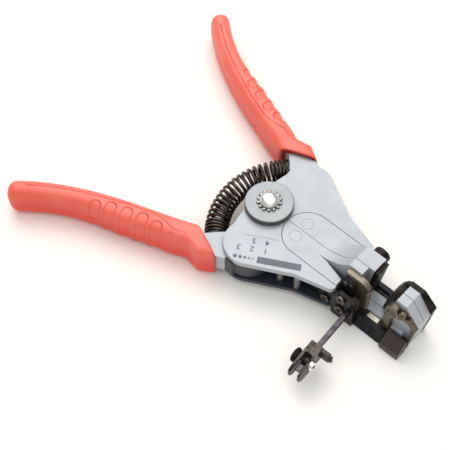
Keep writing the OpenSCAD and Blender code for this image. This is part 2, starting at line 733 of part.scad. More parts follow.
module cap_screw(x, z, head_r, y0, y_head, head_h, shank) {
    difference() {
        union() {
            y_rod(x, z, shank, y0, y_head + head_h / 2);
            y_rod(x, z, head_r, y_head, y_head + head_h);
        }
        y_rod(x, z, head_r * 0.55, y_head + head_h * 0.4, y_head + head_h + over, $fn = 6);
    }
}
module rear_blade_screws() {
    color(dark) mirrored() for (s = rear_screw_shares)
        cap_screw(rear_screw_x(s), rear_screw_z, rear_head_r, arm_w / 2, rear_head_y + fit,
            clamp_t * 0.45, screw_shank);
}

// Front blade on the left front block, with its strip beside the arm
strip_low = arm_top * 0.08;
strip_top = arm_top * 0.81;
front_blade_shares = [
    [front_blade_share, 0.029], [front_blade_share, 0.74], [-0.16, 0.85], [0.018, 0.915], [0.19, 0.88],
    [0.29, 0.745], [0.5, 0.745], [0.708, 0.805], [1.04, 0.607], [0.982, 0.432], [0.965, 0.35]
];
arch_shares = [
    [0.03, -1], [0.03, 0.47], [0.1, 0.56], [0.24, 0.61], [0.6, 0.655], [0.76, 0.62], [0.845, 0.5], [0.845, -1]
];
ledge_shares = [[0.07, 0], [0.55, 0.14]];
module front_blade() {
    color(bronze) mirrored() difference() {
        side_prism(concat(
            [[blade_rear_x, strip_low], [blade_rear_x, strip_top],
             [front_x(front_blade_share - 0.07), strip_top]],
            front_points(front_blade_shares), [[front_x(0.832), strip_low]]
        ), blade_y, blade_y + blade_t);
        intersection() {
            side_prism(front_points(arch_shares), 0, 2 * blade_y);
            slab(0, 2 * front_block_x, 0, 2 * blade_y, strip_top, block_top);
        }
        slab(front_x(0.4), 2 * front_block_x, blade_y + blade_t * 0.75, 2 * blade_y, strip_top, block_top);
        notches(front_x(front_blade_share));
        y_rod(front_screw[0], front_screw[1], front_screw_r + gap, 0, 2 * blade_y);
    }
}
module front_blade_screw() {
    color(bronze) mirrored()
        cap_screw(front_screw[0], front_screw[1], front_screw_r, arm_w / 2, blade_y, blade_t * 0.9,
            screw_shank);
}

// Gripping jaws
groove_w = grip_block_w * 0.05;
grooves = 7;
module groove_cuts(outline, y0, y1) {
    for (i = [0:grooves - 1]) let (y = mix(y0, y1, (i + 0.5) / grooves))
        side_prism(outline, y - groove_w / 2, y + groove_w / 2);
}
function lean_strip(floor_x, lean, x0, x1) = [
    [floor_x + x0, slide_floor], [floor_x + x1, slide_floor],
    [floor_x + x1 + lean * (block_top - slide_floor), block_top],
    [floor_x + x0 + lean * (block_top - slide_floor), block_top]
];
module rear_grip_jaw() {
    x0 = grip_floor_x + gap;
    color(dark) difference() {
        side_prism(lean_strip(x0, grip_lean, 0, jaw_t - gap), seam + gap, grip_block_w - gap);
        groove_cuts(lean_strip(x0, grip_lean, jaw_t - 4 * gap, jaw_t + over), seam + gap,
            grip_block_w - gap);
        slab(0, 2 * front_block_x, 0, 2 * grip_block_w, front_z(0.93), 2 * block_top);
    }
}
module rear_grip_screws() {
    big = grip_block_w * 0.49;
    color(dark) {
        cap_screw(side_screws[0][0], side_screws[0][1], big, arm_w * 1.2, grip_block_w + gap, big,
            screw_shank);
        cap_screw(side_screws[1][0], side_screws[1][1], big * 0.36, arm_w * 1.2, grip_block_w + gap,
            big / 3, screw_shank);
    }
}
flange_y = arm_w + gap;
flange_t = blade_t;
leg_shares = [
    [-0.655, 0.01], [-0.619, 0.155], [-0.513, 0.529], [-0.363, 0.767], [-0.204, 0.913],
    [-0.058, 0.913], [-0.46, 0.01]
];
leg_cut = front_block_l * 0.12;
module front_grip_jaw() {
    leg = front_points(leg_shares);
    color(dark) difference() {
        union() {
            side_prism(concat(front_points(front_jaw_shares), [
                [blade_rear_x, strip_low], [blade_rear_x, strip_top], [front_x(-0.64), strip_top]
            ]), flange_y, flange_y + flange_t);
            side_prism(leg, seam + gap, flange_y + fit);
        }
        groove_cuts([for (p = leg) p - [leg_cut, 0]], seam + gap, flange_y + flange_t);
        for (s = grip_screw_shares) y_rod(front_x(s[0]), front_z(s[1]), screw_shank + fit, 0, 2 * flange_y);
    }
}
module front_grip_screws() {
    color(dark) for (s = grip_screw_shares)
        cap_screw(front_x(s[0]), front_z(s[1]), arm_w * 0.45, arm_w / 2, flange_y + flange_t + fit,
            arm_w * 0.25, screw_shank);
}

// Gauge rod with its block
rod_block_top = body_top + gap;
rod_block_out = wall_y + wall_t;
rod_z = mix(base_top, rod_block_top, 0.4);
tongue_reach = tongue_end + blade_travel;
rod_foot = [mix(rod_block_x, rod_block_end, 0.727), -(rod_y + gap + rod_r)];
socket_r = wall_t * 1.1;
module on_rod() { translate([rod_foot[0], rod_foot[1], rod_z]) rotate([0, 0, rod_tilt]) children(); }
module rod_shape(r, len) { rotate([90, 0, 0]) cylinder(r = r, h = len); }
socket_places = [
    [rod_block_x + socket_r * 0.95, rod_block_top * 0.86], [rod_block_x + socket_r, rod_block_top * 0.42],
    [plate_reach * 0.935, rod_block_top * 0.47]
];
module rod_block() {
    color(dark) difference() {
        mirrored() slab(rod_block_x, rod_block_end, rod_y + gap, rod_block_out, strip_low, rod_block_top);
        mirrored() slab(0, tongue_reach + 2 * gap, 0, tongue_r + 2 * gap, top_under - 2 * gap,
            rod_block_top + over);
        on_rod() translate([0, over + rod_r, 0]) rod_shape(rod_r + fit, rod_len);
        mirrored() for (p = [socket_places[0], socket_places[1]])
            y_rod(p[0], p[1], socket_r * 0.4 + fit, tongue_r + blade_t * 0.3, 2 * rod_block_out);
    }
}
module socket_screws() {
    color(chrome) mirrored() for (p = socket_places)
        cap_screw(p[0], p[1], socket_r, rod_block_out + fit, rod_block_out + fit, socket_r * 0.45,
            socket_r * 0.4);
}
module gauge_rod() {
    color(chrome) difference() {
        on_rod() rod_shape(rod_r, rod_len);
        on_rod() translate([-rod_r, -2 * rod_len, rod_r * 0.62]) cube([2 * rod_r, 4 * rod_len, rod_r]);
    }
}

// Length stop: two cheeks joined over the rod, a finger beside it and a clamping screw above it
stop_w = rod_r * 2.25;
stop_l = rod_r * 12.5;
cheek_t = rod_r * 0.9;
slit_share = 0.36;
stop_low = rod_r * 3.6;
stop_high = rod_r * 2.9;
stop_shares = [[0, -1.24], [0, 1], [0.78, 1], [1, 0.4], [1, -0.7], [0.85, -1.24]];
finger_half = rod_r * 2.35;
screw_z = rod_r * 1.85;
screw_back = stop_l * 0.56;
stop_screw_r = rod_r * 0.55;
module stop_cross(r, x0, x1) {
    translate([x0, -stop_at - screw_back, screw_z]) rotate([0, 90, 0]) cylinder(r = r, h = x1 - x0);
}
module length_stop() {
    plate = rod_r * 1.2;
    slit = stop_w - cheek_t;
    color(dark) on_rod() difference() {
        union() {
            rotate([90, 0, 90]) translate([0, 0, -stop_w]) linear_extrude(2 * stop_w)
                polygon([for (s = stop_shares) [-stop_at - stop_l * s[0], stop_high * s[1]]]);
            translate([0, -stop_at - plate, -finger_half])
                cube([finger_len * 0.86, plate, 2 * finger_half]);
            translate([0, -stop_at - plate * 0.8, -finger_half * 0.72])
                cube([finger_len, plate * 0.6, 1.44 * finger_half]);
        }
        rotate([90, 0, 0]) cylinder(r = rod_r + fit, h = 2 * rod_len);
        translate([-slit, -stop_at - stop_l - over, -stop_low - over])
            cube([2 * slit, stop_l * (1 - slit_share) + over, 2 * (stop_low + stop_high)]);
        stop_cross(stop_screw_r + fit, -2 * stop_w, 2 * stop_w);
    }
}
knurls = 24;
module stop_screw() {
    head_r = rod_r * 2.6;
    head_h = rod_r * 1.7;
    color(dark) on_rod() union() {
        stop_cross(stop_screw_r, -stop_w - gap - head_h, stop_w + rod_r * 1.6);
        stop_cross(head_r * 0.94, -stop_w - gap - head_h, -stop_w - gap);
        translate([-stop_w - gap - head_h * 0.85, -stop_at - screw_back, screw_z]) rotate([0, 90, 0])
            for (i = [0:knurls - 1]) rotate([0, 0, 360 * i / knurls]) translate([head_r * 0.92, 0, 0])
                cylinder(r = head_r * 0.07, h = head_h * 0.7, $fn = 16);
    }
}
module stop_nut() {
    color(chrome) on_rod() difference() {
        stop_cross(rod_r * 1.75, stop_w + gap, stop_w + rod_r * 1.4);
        stop_cross(stop_screw_r + fit, 0, 2 * stop_w + rod_r * 2);
    }
}

// Return spring: helix on an arc, with short straight ends against the seats
coil_r = (spring_d - wire_d) / 2;
arc_len = spring_bend_r * 2 * seat_angle * PI / 180;
end_bend = wire_d;
turn_total = spring_turns * 360;
bend_steps = [20, 40, 60, 80];
end_steps = [for (b = bend_steps)
    [gap + wire_d + end_bend * sin(b), end_bend * (1 - cos(b)) / coil_r * 180 / PI]];
coil_start = end_steps[len(end_steps) - 1];
rings_per_turn = 8;
coil_count = spring_turns * rings_per_turn;
spring_steps = concat(
    [[gap, 0], [gap + wire_d, 0]], end_steps,
    [for (i = [1:coil_count - 1]) let (t = i / coil_count)
        [mix(coil_start[0], arc_len - coil_start[0], t),
         mix(coil_start[1], turn_total - coil_start[1], t)]],
    [for (i = [len(end_steps) - 1:-1:0]) [arc_len - end_steps[i][0], turn_total - end_steps[i][1]]],
    [[arc_len - gap - wire_d, turn_total], [arc_len - gap, turn_total]]
);
function spring_at(step) = let (a = 180 - seat_angle + step[0] / spring_bend_r * 180 / PI,
        out = spring_bend_r + coil_r * cos(step[1]))
    [spring_cx + out * cos(a), out * sin(a), handle_z + coil_r * sin(step[1])];
spring_points = [for (s = spring_steps) spring_at(s)];
function tangent_at(i) = let (n = len(spring_points) - 1)
    unit(spring_points[min(i + 1, n)] - spring_points[max(i - 1, 0)]);
function coil_out(i) = let (s = spring_steps[i], a = 180 - seat_angle + s[0] / spring_bend_r * 180 / PI)
    [cos(a) * cos(s[1]), sin(a) * cos(s[1]), sin(s[1])];
wire_sides = 6;
spring_rings = [for (i = [0:len(spring_points) - 1])
    let (t = tangent_at(i), o = coil_out(i), n1 = unit(o - t * (o * t)), n2 = cross(t, n1))
    [for (j = [0:wire_sides - 1]) let (a = 360 * j / wire_sides)
        spring_points[i] + wire_d / 2 * (n1 * cos(a) + n2 * sin(a))]];
near_ring = rings_per_turn - 2;
far_ring = rings_per_turn + 3;
least = min([for (i = [0:len(spring_points) - 1 - far_ring]) min([for (j = [i + near_ring:i + far_ring])
    norm(spring_points[i] - spring_points[j])])]);
echo(spring_least_gap = least - wire_d);
module return_spring() { color(chrome) loft(spring_rings); }

left_frame();
right_frame();
left_top_plate();
right_top_plate();
pivot_pin();
pivot_disc();
pivot_cap();
pivot_spacer();
left_handle();
right_handle();
left_cam_plate();
right_cam_plate();
left_grip();
right_grip();
left_handle_pin();
right_handle_pin();
left_jaw_slide();
right_jaw_slide();
left_slide_pin();
right_slide_pin();
left_drive_stud();
right_drive_stud();
left_rail();
right_rail();
left_posts();
right_posts();
rear_blade();
rear_blade_clamp();
rear_blade_screws();
front_blade();
front_blade_screw();
rear_grip_jaw();
rear_grip_screws();
front_grip_jaw();
front_grip_screws();
rod_block();
socket_screws();
gauge_rod();
length_stop();
stop_screw();
stop_nut();
return_spring();
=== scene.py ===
"""Looks of the automatic wire stripper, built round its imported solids.

Sizes in the classes are millimetres and the meshes are metres, in the frame of the
solids: +X points from the main pivot to the jaws, +Y to the gripping side, +Z up from
the table.
"""

from __future__ import annotations

import json
import logging
import math
from dataclasses import dataclass, field
from enum import Enum
from typing import Any, Sequence

import bmesh
import bpy
import numpy as np
from mathutils import Matrix, Vector

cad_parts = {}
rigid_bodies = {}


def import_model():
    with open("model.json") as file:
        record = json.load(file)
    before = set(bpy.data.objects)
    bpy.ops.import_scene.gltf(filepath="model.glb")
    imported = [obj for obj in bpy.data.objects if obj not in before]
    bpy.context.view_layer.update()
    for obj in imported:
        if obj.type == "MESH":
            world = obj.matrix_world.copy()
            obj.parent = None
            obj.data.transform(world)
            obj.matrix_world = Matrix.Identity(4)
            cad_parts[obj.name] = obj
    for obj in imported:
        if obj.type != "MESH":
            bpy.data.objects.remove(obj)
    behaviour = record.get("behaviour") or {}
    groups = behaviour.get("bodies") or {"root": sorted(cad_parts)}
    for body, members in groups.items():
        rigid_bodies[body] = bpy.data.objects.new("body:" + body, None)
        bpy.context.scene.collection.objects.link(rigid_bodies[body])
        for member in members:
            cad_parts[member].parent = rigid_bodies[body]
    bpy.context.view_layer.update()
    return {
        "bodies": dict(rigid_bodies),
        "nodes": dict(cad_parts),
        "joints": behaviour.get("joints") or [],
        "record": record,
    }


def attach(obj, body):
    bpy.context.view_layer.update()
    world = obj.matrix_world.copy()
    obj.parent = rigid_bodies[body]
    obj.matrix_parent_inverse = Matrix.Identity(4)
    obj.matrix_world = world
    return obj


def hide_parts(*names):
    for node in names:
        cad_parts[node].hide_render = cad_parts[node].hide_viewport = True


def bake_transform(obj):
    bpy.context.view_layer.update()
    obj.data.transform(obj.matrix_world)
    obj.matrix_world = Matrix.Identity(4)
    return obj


MM = 0.001
CREASE_SHADE_ATTRIBUTE = "groove"  # attribute that says how much painted shade a point of a grip gets
AXIS_R = 0.02  # radius at which a turned outline ends at its axis
FAR = 999.0  # a place past every piece
CREASE = 32.0  # degrees over which an edge stays sharp in shading
WELD = 1e-7  # metres within which two points of a new mesh are one
Triple = tuple[float, float, float]
Pair = tuple[float, float]
SOCKET_KINDS: dict[type, str] = {float: "Float", int: "Int", type(None): "Material"}
LOG = logging.getLogger("wire_stripper")


class Side(Enum):
    """The two halves of the tool, with the sign of their Y."""

    LEFT = -1
    RIGHT = 1

    @property
    def word(self) -> str:
        """The half's name in node and body names."""
        return self.name.lower()


class TreeBench:
    """A node tree with one short way to add nodes.

    Attributes:
        tree: The tree.
        start: The node of the tree's own inputs, where it has them.
    """

    tree: bpy.types.NodeTree
    start: bpy.types.Node | None = None

    def add(
        self, kind: str, inputs: dict[Any, Any] | None = None, **settings: Any
    ) -> bpy.types.Node:
        """Adds a node.

        Args:
            kind: The node's type.
            inputs: Its inputs: values, sockets, or the name of a tree input in braces.
            settings: The node's own properties.

        Returns:
            The node.
        """
        node = self.tree.nodes.new(kind)
        for key, value in settings.items():
            setattr(node, key, value)
        for key, value in (inputs or {}).items():
            if isinstance(value, str) and value.startswith("{"):
                value = self.start.outputs[value.strip("{}")]
            if isinstance(value, bpy.types.NodeSocket):
                self.tree.links.new(value, node.inputs[key])
            else:
                node.inputs[key].default_value = value
        return node


class NodeBench(TreeBench):
    """A material's node tree with short ways to add and join its nodes."""

    def __init__(self, name: str) -> None:
        """Starts a material with a shader, an output and Object coordinates.

        Args:
            name: The material's name.
        """
        self.material = bpy.data.materials.new(name)
        self.material.use_nodes = True
        self.tree = self.material.node_tree
        self.tree.nodes.clear()
        self.shader = self.add("ShaderNodeBsdfPrincipled")
        self.add("ShaderNodeOutputMaterial", {"Surface": self.shader.outputs["BSDF"]})
        self.place = self.add("ShaderNodeTexCoord").outputs["Object"]

    def join(self, source: bpy.types.NodeSocket, socket: str) -> None:
        """Joins a socket to the shader's input of that name."""
        self.tree.links.new(source, self.shader.inputs[socket])

    def noise(
        self,
        grain: float,
        detail: float = 3.0,
        stretch: Triple = (1.0, 1.0, 1.0),
        roughness: float = 0.55,
    ) -> bpy.types.NodeSocket:
        """Noise on Object coordinates.

        Args:
            grain: Size of one grain in millimetres.
            detail: Number of finer layers.
            stretch: Factors of the grain's length along X, Y and Z.
            roughness: Weight of the finer layers.

        Returns:
            The noise value.
        """
        mapped = self.add(
            "ShaderNodeMapping",
            {"Vector": self.place, "Scale": tuple(1.0 / (grain * MM * s) for s in stretch)},
        )
        node = self.add(
            "ShaderNodeTexNoise",
            {
                "Vector": mapped.outputs["Vector"], "Scale": 1.0, "Detail": detail,
                "Roughness": roughness,
            },
        )
        return node.outputs["Fac"]

    def ramp(
        self, source: bpy.types.NodeSocket, stops: Sequence[tuple[float, Triple]]
    ) -> bpy.types.NodeSocket:
        """Colours that follow a value.

        Args:
            source: The value.
            stops: Place and colour of each stop.

        Returns:
            The colour.
        """
        node = self.add("ShaderNodeValToRGB", {"Fac": source})
        ramp = node.color_ramp
        while len(ramp.elements) < len(stops):
            ramp.elements.new(0.5)
        for element, (place, colour) in zip(ramp.elements, stops):
            element.position = place
            element.color = (*colour, 1.0)
        return node.outputs["Color"]

    def axis(self, number: int) -> bpy.types.NodeSocket:
        """X, Y or Z of the Object coordinates."""
        return self.add("ShaderNodeSeparateXYZ", {"Vector": self.place}).outputs[number]

    def combine(self, operation: str, first: Any, second: Any) -> bpy.types.NodeSocket:
        """The result of a Math node on two values or sockets."""
        node = self.add("ShaderNodeMath", {0: first, 1: second}, operation=operation)
        return node.outputs["Value"]

    def between(self, number: int, low: float, high: float) -> bpy.types.NodeSocket:
        """Marks a zone of the Object coordinates.

        Args:
            number: 0, 1 or 2 for X, Y or Z.
            low: Where the zone starts, in millimetres.
            high: Where it ends.

        Returns:
            1 in the zone, else 0.
        """
        place = self.axis(number)
        return self.combine(
            "MULTIPLY",
            self.combine("GREATER_THAN", place, low * MM),
            self.combine("LESS_THAN", place, high * MM),
        )

    def span(
        self,
        source: bpy.types.NodeSocket,
        low: float,
        high: float,
        start: float = 0.3,
        end: float = 0.7,
    ) -> bpy.types.NodeSocket:
        """Moves a value to another range.

        Args:
            source: The value.
            low: What it becomes at the start.
            high: What it becomes at the end.
            start: Start of the range that it comes in.
            end: End of that range.

        Returns:
            The moved value.
        """
        return self.add(
            "ShaderNodeMapRange",
            {"Value": source, "From Min": start, "From Max": end, "To Min": low, "To Max": high},
        ).outputs["Result"]

    def below(self, bottom: float, top: float) -> bpy.types.NodeSocket:
        """1 under the bottom height, 0 over the top one, and a slope between them."""
        return self.span(self.axis(2), 1.0, 0.0, bottom * MM, top * MM)

    def blend(
        self, share: bpy.types.NodeSocket, first: bpy.types.NodeSocket, second: Triple
    ) -> bpy.types.NodeSocket:
        """Turns a colour into a second one by a share.

        Args:
            share: 0 for the first colour, 1 for the second.
            first: The first colour.
            second: The second one.

        Returns:
            The colour between them.
        """
        return self.add(
            "ShaderNodeMix", {0: share, 6: first, 7: (*second, 1.0)}, data_type="RGBA"
        ).outputs[2]

    def finished(
        self,
        colour: bpy.types.NodeSocket,
        grain: float,
        detail: float,
        rough: Pair,
        metallic: float = 0.0,
    ) -> bpy.types.Material:
        """Joins the colour, and a roughness that follows noise.

        Args:
            colour: The base colour.
            grain: Size of one grain of the noise in millimetres.
            detail: Number of finer layers.
            rough: Lowest and highest roughness.
            metallic: Share of metal.

        Returns:
            The material.
        """
        self.join(colour, "Base Color")
        self.join(self.span(self.noise(grain, detail), *rough), "Roughness")
        self.shader.inputs["Metallic"].default_value = metallic
        return self.material

    def bump(self, height: bpy.types.NodeSocket, depth: float, strength: float = 1.0) -> None:
        """Gives the shader a bump.

        Args:
            height: The height's source.
            depth: Its depth in millimetres.
            strength: Its strength.
        """
        node = self.add(
            "ShaderNodeBump", {"Height": height, "Distance": depth * MM, "Strength": strength}
        )
        self.join(node.outputs["Normal"], "Normal")


@dataclass(frozen=True)
class CastPaint:
    """Silver paint over a fine casting, with painted shade between two heights where it has a
    hollow.

    Attributes:
        name: The material's name.
        slot: Its slot; not used.
        light: Its light patches.
        dull: Its duller patches.
        grain: Size of the casting's grain.
        metallic: Share of metal in the paint.
        bare: Colour of the painted shade in the hollow.
        bare_low: Height where the painted shade starts.
        bare_high: Height where it ends.
        bare_rear: X where it starts.
        bare_front: X where it ends.
    """

    name: str = "cast_silver_paint"
    slot: str = "silver"
    light: Triple = (0.452, 0.48, 0.51)
    dull: Triple = (0.415, 0.442, 0.47)
    grain: float = 0.35
    metallic: float = 0.2
    bare: Triple | None = None
    bare_low: float = 5.33
    bare_high: float = 14.87
    bare_rear: float = -99.0
    bare_front: float = 44.6

    def material(self) -> bpy.types.Material:
        """Builds the finish.

        Returns:
            The material.
        """
        bench = NodeBench(self.name)
        paint = bench.ramp(bench.noise(9.0, 2.0), [(0.35, self.dull), (0.62, self.light)])
        # Painted shade: the hollow inside the casting, between the given heights and X, is
        # darkened.
        if self.bare:
            zone = bench.combine(
                "MULTIPLY",
                bench.between(2, self.bare_low, self.bare_high),
                bench.between(0, self.bare_rear, self.bare_front),
            )
            paint = bench.blend(zone, paint, self.bare)
        bench.bump(bench.noise(self.grain, 4.0), 0.02, 0.35)
        return bench.finished(paint, 2.2, 4.0, (0.36, 0.5), self.metallic)


@dataclass(frozen=True)
class OxideSteel:
    """Steel with a dark brown-black oxide and lighter rubbed patches.

    Attributes:
        name: The material's name.
        slot: Its slot; not used.
        dark: The oxide.
        rubbed: Its rubbed patches.
        worn: Its worn patches and worn zone, and the colour of its painted highlight.
        worn_above: Height over which it gets a painted highlight in the worn colour.
        worn_ahead: X past which it is worn all over.
        stretch: Factors of the brushed grain's length along X, Y and Z.
        metallic: Share of metal.
    """

    name: str = "dark_oxide_steel"
    slot: str = "dark_steel"
    dark: Triple = (0.006, 0.0055, 0.005)
    rubbed: Triple = (0.024, 0.02, 0.018)
    worn: Triple = (0.062, 0.052, 0.046)
    worn_above: float = 99.0
    worn_ahead: float = 99.0
    stretch: Triple = (6.0, 1.0, 1.0)
    metallic: float = 0.5

    def material(self) -> bpy.types.Material:
        """Builds the finish.

        Returns:
            The material.
        """
        bench = NodeBench(self.name)
        rubs = bench.noise(3.2, 5.0, roughness=0.65)
        steel = bench.ramp(rubs, [(0.38, self.dark), (0.6, self.rubbed), (0.78, self.worn)])
        # Over the given height the worn colour is a painted highlight; past the given X it is worn
        # all over.
        zone = bench.combine(
            "MAXIMUM",
            bench.between(2, self.worn_above, FAR), bench.between(0, self.worn_ahead, FAR),
        )
        bench.shader.inputs["Specular IOR Level"].default_value = 0.22
        bench.bump(bench.noise(0.16, 3.0, self.stretch), 0.012, 0.5)
        steel = bench.blend(zone, steel, self.worn)
        return bench.finished(steel, 1.1, 4.0, (0.26, 0.48), self.metallic)


@dataclass(frozen=True)
class BladeSteel:
    """Ground blade steel, tinted bronze, with a bright worn strip near the table.

    Attributes:
        name: The material's name.
        slot: Its slot; not used.
        deep: The darkest tint and the zone near the table.
        straw: The light tint.
        middle: The tint between them.
        tan: The upper edge.
        bright: The worn strip.
        strip_top: Height under which the steel is deep or bright.
        strip_ends: X where the bright strip starts and ends.
        upper_edge: Height over which the steel is tan.
    """

    name: str = "bronze_blade_steel"
    slot: str = "blade"
    deep: Triple = (0.04, 0.03, 0.022)
    straw: Triple = (0.2, 0.16, 0.115)
    middle: Triple = (0.1, 0.078, 0.056)
    tan: Triple = (0.23, 0.2, 0.152)
    bright: Triple = (0.74, 0.68, 0.55)
    strip_top: float = 4.45
    strip_ends: Pair = (57.2, 62.3)
    upper_edge: float = 23.6

    def material(self) -> bpy.types.Material:
        """Builds the finish.

        Returns:
            The material.
        """
        bench = NodeBench(self.name)
        tint = bench.ramp(
            bench.noise(2.6, 5.0, roughness=0.6),
            [(0.36, self.deep), (0.5, self.straw), (0.7, self.middle)],
        )
        low = bench.between(2, -FAR, self.strip_top)
        worn = bench.combine("MULTIPLY", low, bench.between(0, *self.strip_ends))
        high = bench.between(2, self.upper_edge, FAR)
        for zone, colour in ((high, self.tan), (low, self.deep), (worn, self.bright)):
            tint = bench.blend(zone, tint, colour)
        bench.bump(bench.noise(0.12, 3.0, (1.0, 1.0, 9.0)), 0.01, 0.5)
        return bench.finished(tint, 1.3, 4.0, (0.24, 0.46), 0.7)


@dataclass(frozen=True)
class Vinyl:
    """Dipped salmon-red vinyl, with painted shade that makes it deeper low down than on top, and
    darker in its moulded lines.

    Attributes:
        name: The material's name.
        slot: Its slot; not used.
        body: Colour of the deeper patches.
        pale: Colour of the paler patches.
        low: Colour of the painted shade low down on the grip.
        line: Colour of the painted shade in the moulded lines, scallop rims and collar's mouth.
        low_level: Height under which the painted shade is full.
        top_level: Height where it ends.
    """

    name: str = "salmon_vinyl"
    slot: str = "grip"
    body: Triple = (0.84, 0.135, 0.09)
    pale: Triple = (0.875, 0.19, 0.14)
    low: Triple = (0.77, 0.048, 0.022)
    line: Triple = (0.52, 0.026, 0.017)
    low_level: float = 8.0
    top_level: float = 17.0

    def material(self) -> bpy.types.Material:
        """Builds the finish.

        Returns:
            The material.
        """
        bench = NodeBench(self.name)
        skin = bench.ramp(bench.noise(14.0, 2.0), [(0.35, self.body), (0.68, self.pale)])
        # Painted shade: the grip turns deeper red towards the table.
        skin = bench.blend(bench.below(self.low_level, self.top_level), skin, self.low)
        # Painted shade in the grip's scallop rims, moulded line, dot and collar mouth.
        groove = bench.add("ShaderNodeAttribute", attribute_name=CREASE_SHADE_ATTRIBUTE).outputs["Fac"]
        for socket, value in (
            ("Subsurface Weight", 0.08), ("Subsurface Radius", (0.0016, 0.0005, 0.0003)),
            ("Subsurface Scale", 1.0), ("Specular IOR Level", 0.5),
        ):
            bench.shader.inputs[socket].default_value = value
        bench.bump(bench.noise(0.5, 4.0), 0.02, 0.3)
        skin = bench.blend(groove, skin, self.line)
        return bench.finished(skin, 3.0, 3.0, (0.34, 0.44))


@dataclass(frozen=True)
class BrightMetal:
    """Bright metal, from polished plating to drawn wire and cast posts.

    Attributes:
        name: The material's name.
        slot: Its slot; not used.
        colour: Its light patches.
        shade: Its darker patches.
        smooth: Lowest and highest roughness.
        grain: Size of one grain.
        depth: Depth of the grain.
        foot: Colour of painted dark reflection and shade low down, if it has one.
        foot_levels: Height where that painted colour is full and where it ends.
    """

    name: str = "polished_plating"
    slot: str = "chrome"
    colour: Triple = (0.93, 0.93, 0.91)
    shade: Triple = (0.8, 0.8, 0.79)
    smooth: Pair = (0.06, 0.13)
    grain: float = 0.7
    depth: float = 0.006
    foot: Triple | None = None
    foot_levels: Pair = (0.0, 1.0)

    def material(self) -> bpy.types.Material:
        """Builds the finish.

        Returns:
            The material.
        """
        bench = NodeBench(self.name)
        plating = bench.ramp(bench.noise(2.4, 3.0), [(0.35, self.shade), (0.6, self.colour)])
        # Painted dark reflection and shade, fading out upwards.
        if self.foot:
            plating = bench.blend(bench.below(*self.foot_levels), plating, self.foot)
        bench.bump(bench.noise(self.grain / 2, 3.0), self.depth, 0.4)
        return bench.finished(plating, self.grain, 3.0, self.smooth, 1.0)


@dataclass(frozen=True)
class PrintInk:
    """Grey pad print, with thin places where the paint below shows through.

    Attributes:
        name: The material's name.
        slot: Its slot; not used.
        ink: The print.
        thin: Its thin places.
    """

    name: str = "grey_print"
    slot: str = "silver"
    ink: Triple = (0.115, 0.125, 0.155)
    thin: Triple = (0.18, 0.19, 0.22)

    def material(self) -> bpy.types.Material:
        """Builds the finish.

        Returns:
            The material.
        """
        bench = NodeBench(self.name)
        ink = bench.ramp(bench.noise(0.5, 4.0), [(0.45, self.ink), (0.72, self.thin)])
        bench.bump(bench.noise(0.2, 2.0), 0.006, 0.3)
        return bench.finished(ink, 0.9, 3.0, (0.5, 0.65))


class Coat(Enum):
    """The finishes by what they are used for."""

    PAINT = CastPaint()
    # Painted shade on the lower casting, dark in its hollow under the top plate.
    FRAME = CastPaint("cast_frame_paint", bare=(0.024, 0.03, 0.042), bare_low=3.5)
    # Painted shade on the neck, dark where it runs into the body's hollow.
    NECK = CastPaint("cast_neck_paint", bare=(0.05, 0.055, 0.065), bare_low=0.0, bare_rear=2.4)
    # Painted shade on the disc's side, under its face.
    DISC = CastPaint(
        "disc_paint", light=(0.385, 0.404, 0.416), dull=(0.34, 0.358, 0.37),
        bare=(0.07, 0.072, 0.07), bare_low=17.0, bare_high=20.22,
    )
    OXIDE = OxideSteel()
    RAIL = OxideSteel(
        "dark_rail_steel", metallic=0.3, dark=(0.006, 0.007, 0.008), rubbed=(0.018, 0.019, 0.021),
        worn=(0.062, 0.05, 0.044), worn_ahead=68.34,
    )
    # The light grey over the clamp's rounded top is a painted highlight.
    CLAMP = OxideSteel("clamp_steel", worn=(0.34, 0.34, 0.34), worn_above=25.75)
    BLADE = BladeSteel()
    VINYL = Vinyl()
    CHROME = BrightMetal()
    # The cap's dark foot is painted dark reflection and shade on its teeth, rim and lower dome.
    CAP = BrightMetal(
        "cap_plating", "chrome", (0.9, 0.91, 0.88), (0.78, 0.79, 0.75), (0.1, 0.2), 0.7, 0.006,
        (0.1, 0.1, 0.095), (21.05, 21.95),
    )
    WIRE = BrightMetal(
        "drawn_spring_wire", "chrome", (0.1, 0.08, 0.068), (0.035, 0.027, 0.022), (0.14, 0.25),
        1.2, 0.01,
    )
    PIN = BrightMetal(
        "turned_pin", "dark_steel", (0.55, 0.56, 0.58), (0.46, 0.47, 0.49), (0.34, 0.46), 0.8, 0.01
    )
    POST = BrightMetal(
        "cast_post", "silver", (0.24, 0.25, 0.26), (0.17, 0.18, 0.19), (0.36, 0.48), 0.9, 0.012
    )
    ROD = BrightMetal(
        "ground_rod", "chrome", (0.085, 0.078, 0.086), (0.04, 0.036, 0.041), (0.2, 0.34), 0.8, 0.01
    )
    SCREW = BrightMetal(
        "socket_screw", "chrome", (0.15, 0.12, 0.1), (0.06, 0.048, 0.04), (0.24, 0.4), 0.8, 0.01
    )
    STOP = BrightMetal(
        "stop_plate", "dark_steel", (0.085, 0.073, 0.066), (0.022, 0.019, 0.017), (0.26, 0.42),
        1.0, 0.012,
    )
    INK = PrintInk()


class Paintshop:
    """Builds each finish once and dresses pieces with it."""

    def __init__(self) -> None:
        """Starts with no finish built."""
        self._made: dict[Coat, bpy.types.Material] = {}

    def material(self, coat: Coat) -> bpy.types.Material:
        """The finish's material, built on first use."""
        if coat not in self._made:
            self._made[coat] = coat.value.material()
        return self._made[coat]

    def dress(self, piece: bpy.types.Object, coat: Coat) -> None:
        """Gives a piece one finish all over.

        Args:
            piece: The mesh object.
            coat: Its finish.
        """
        piece.data.materials.clear()
        piece.data.materials.append(self.material(coat))


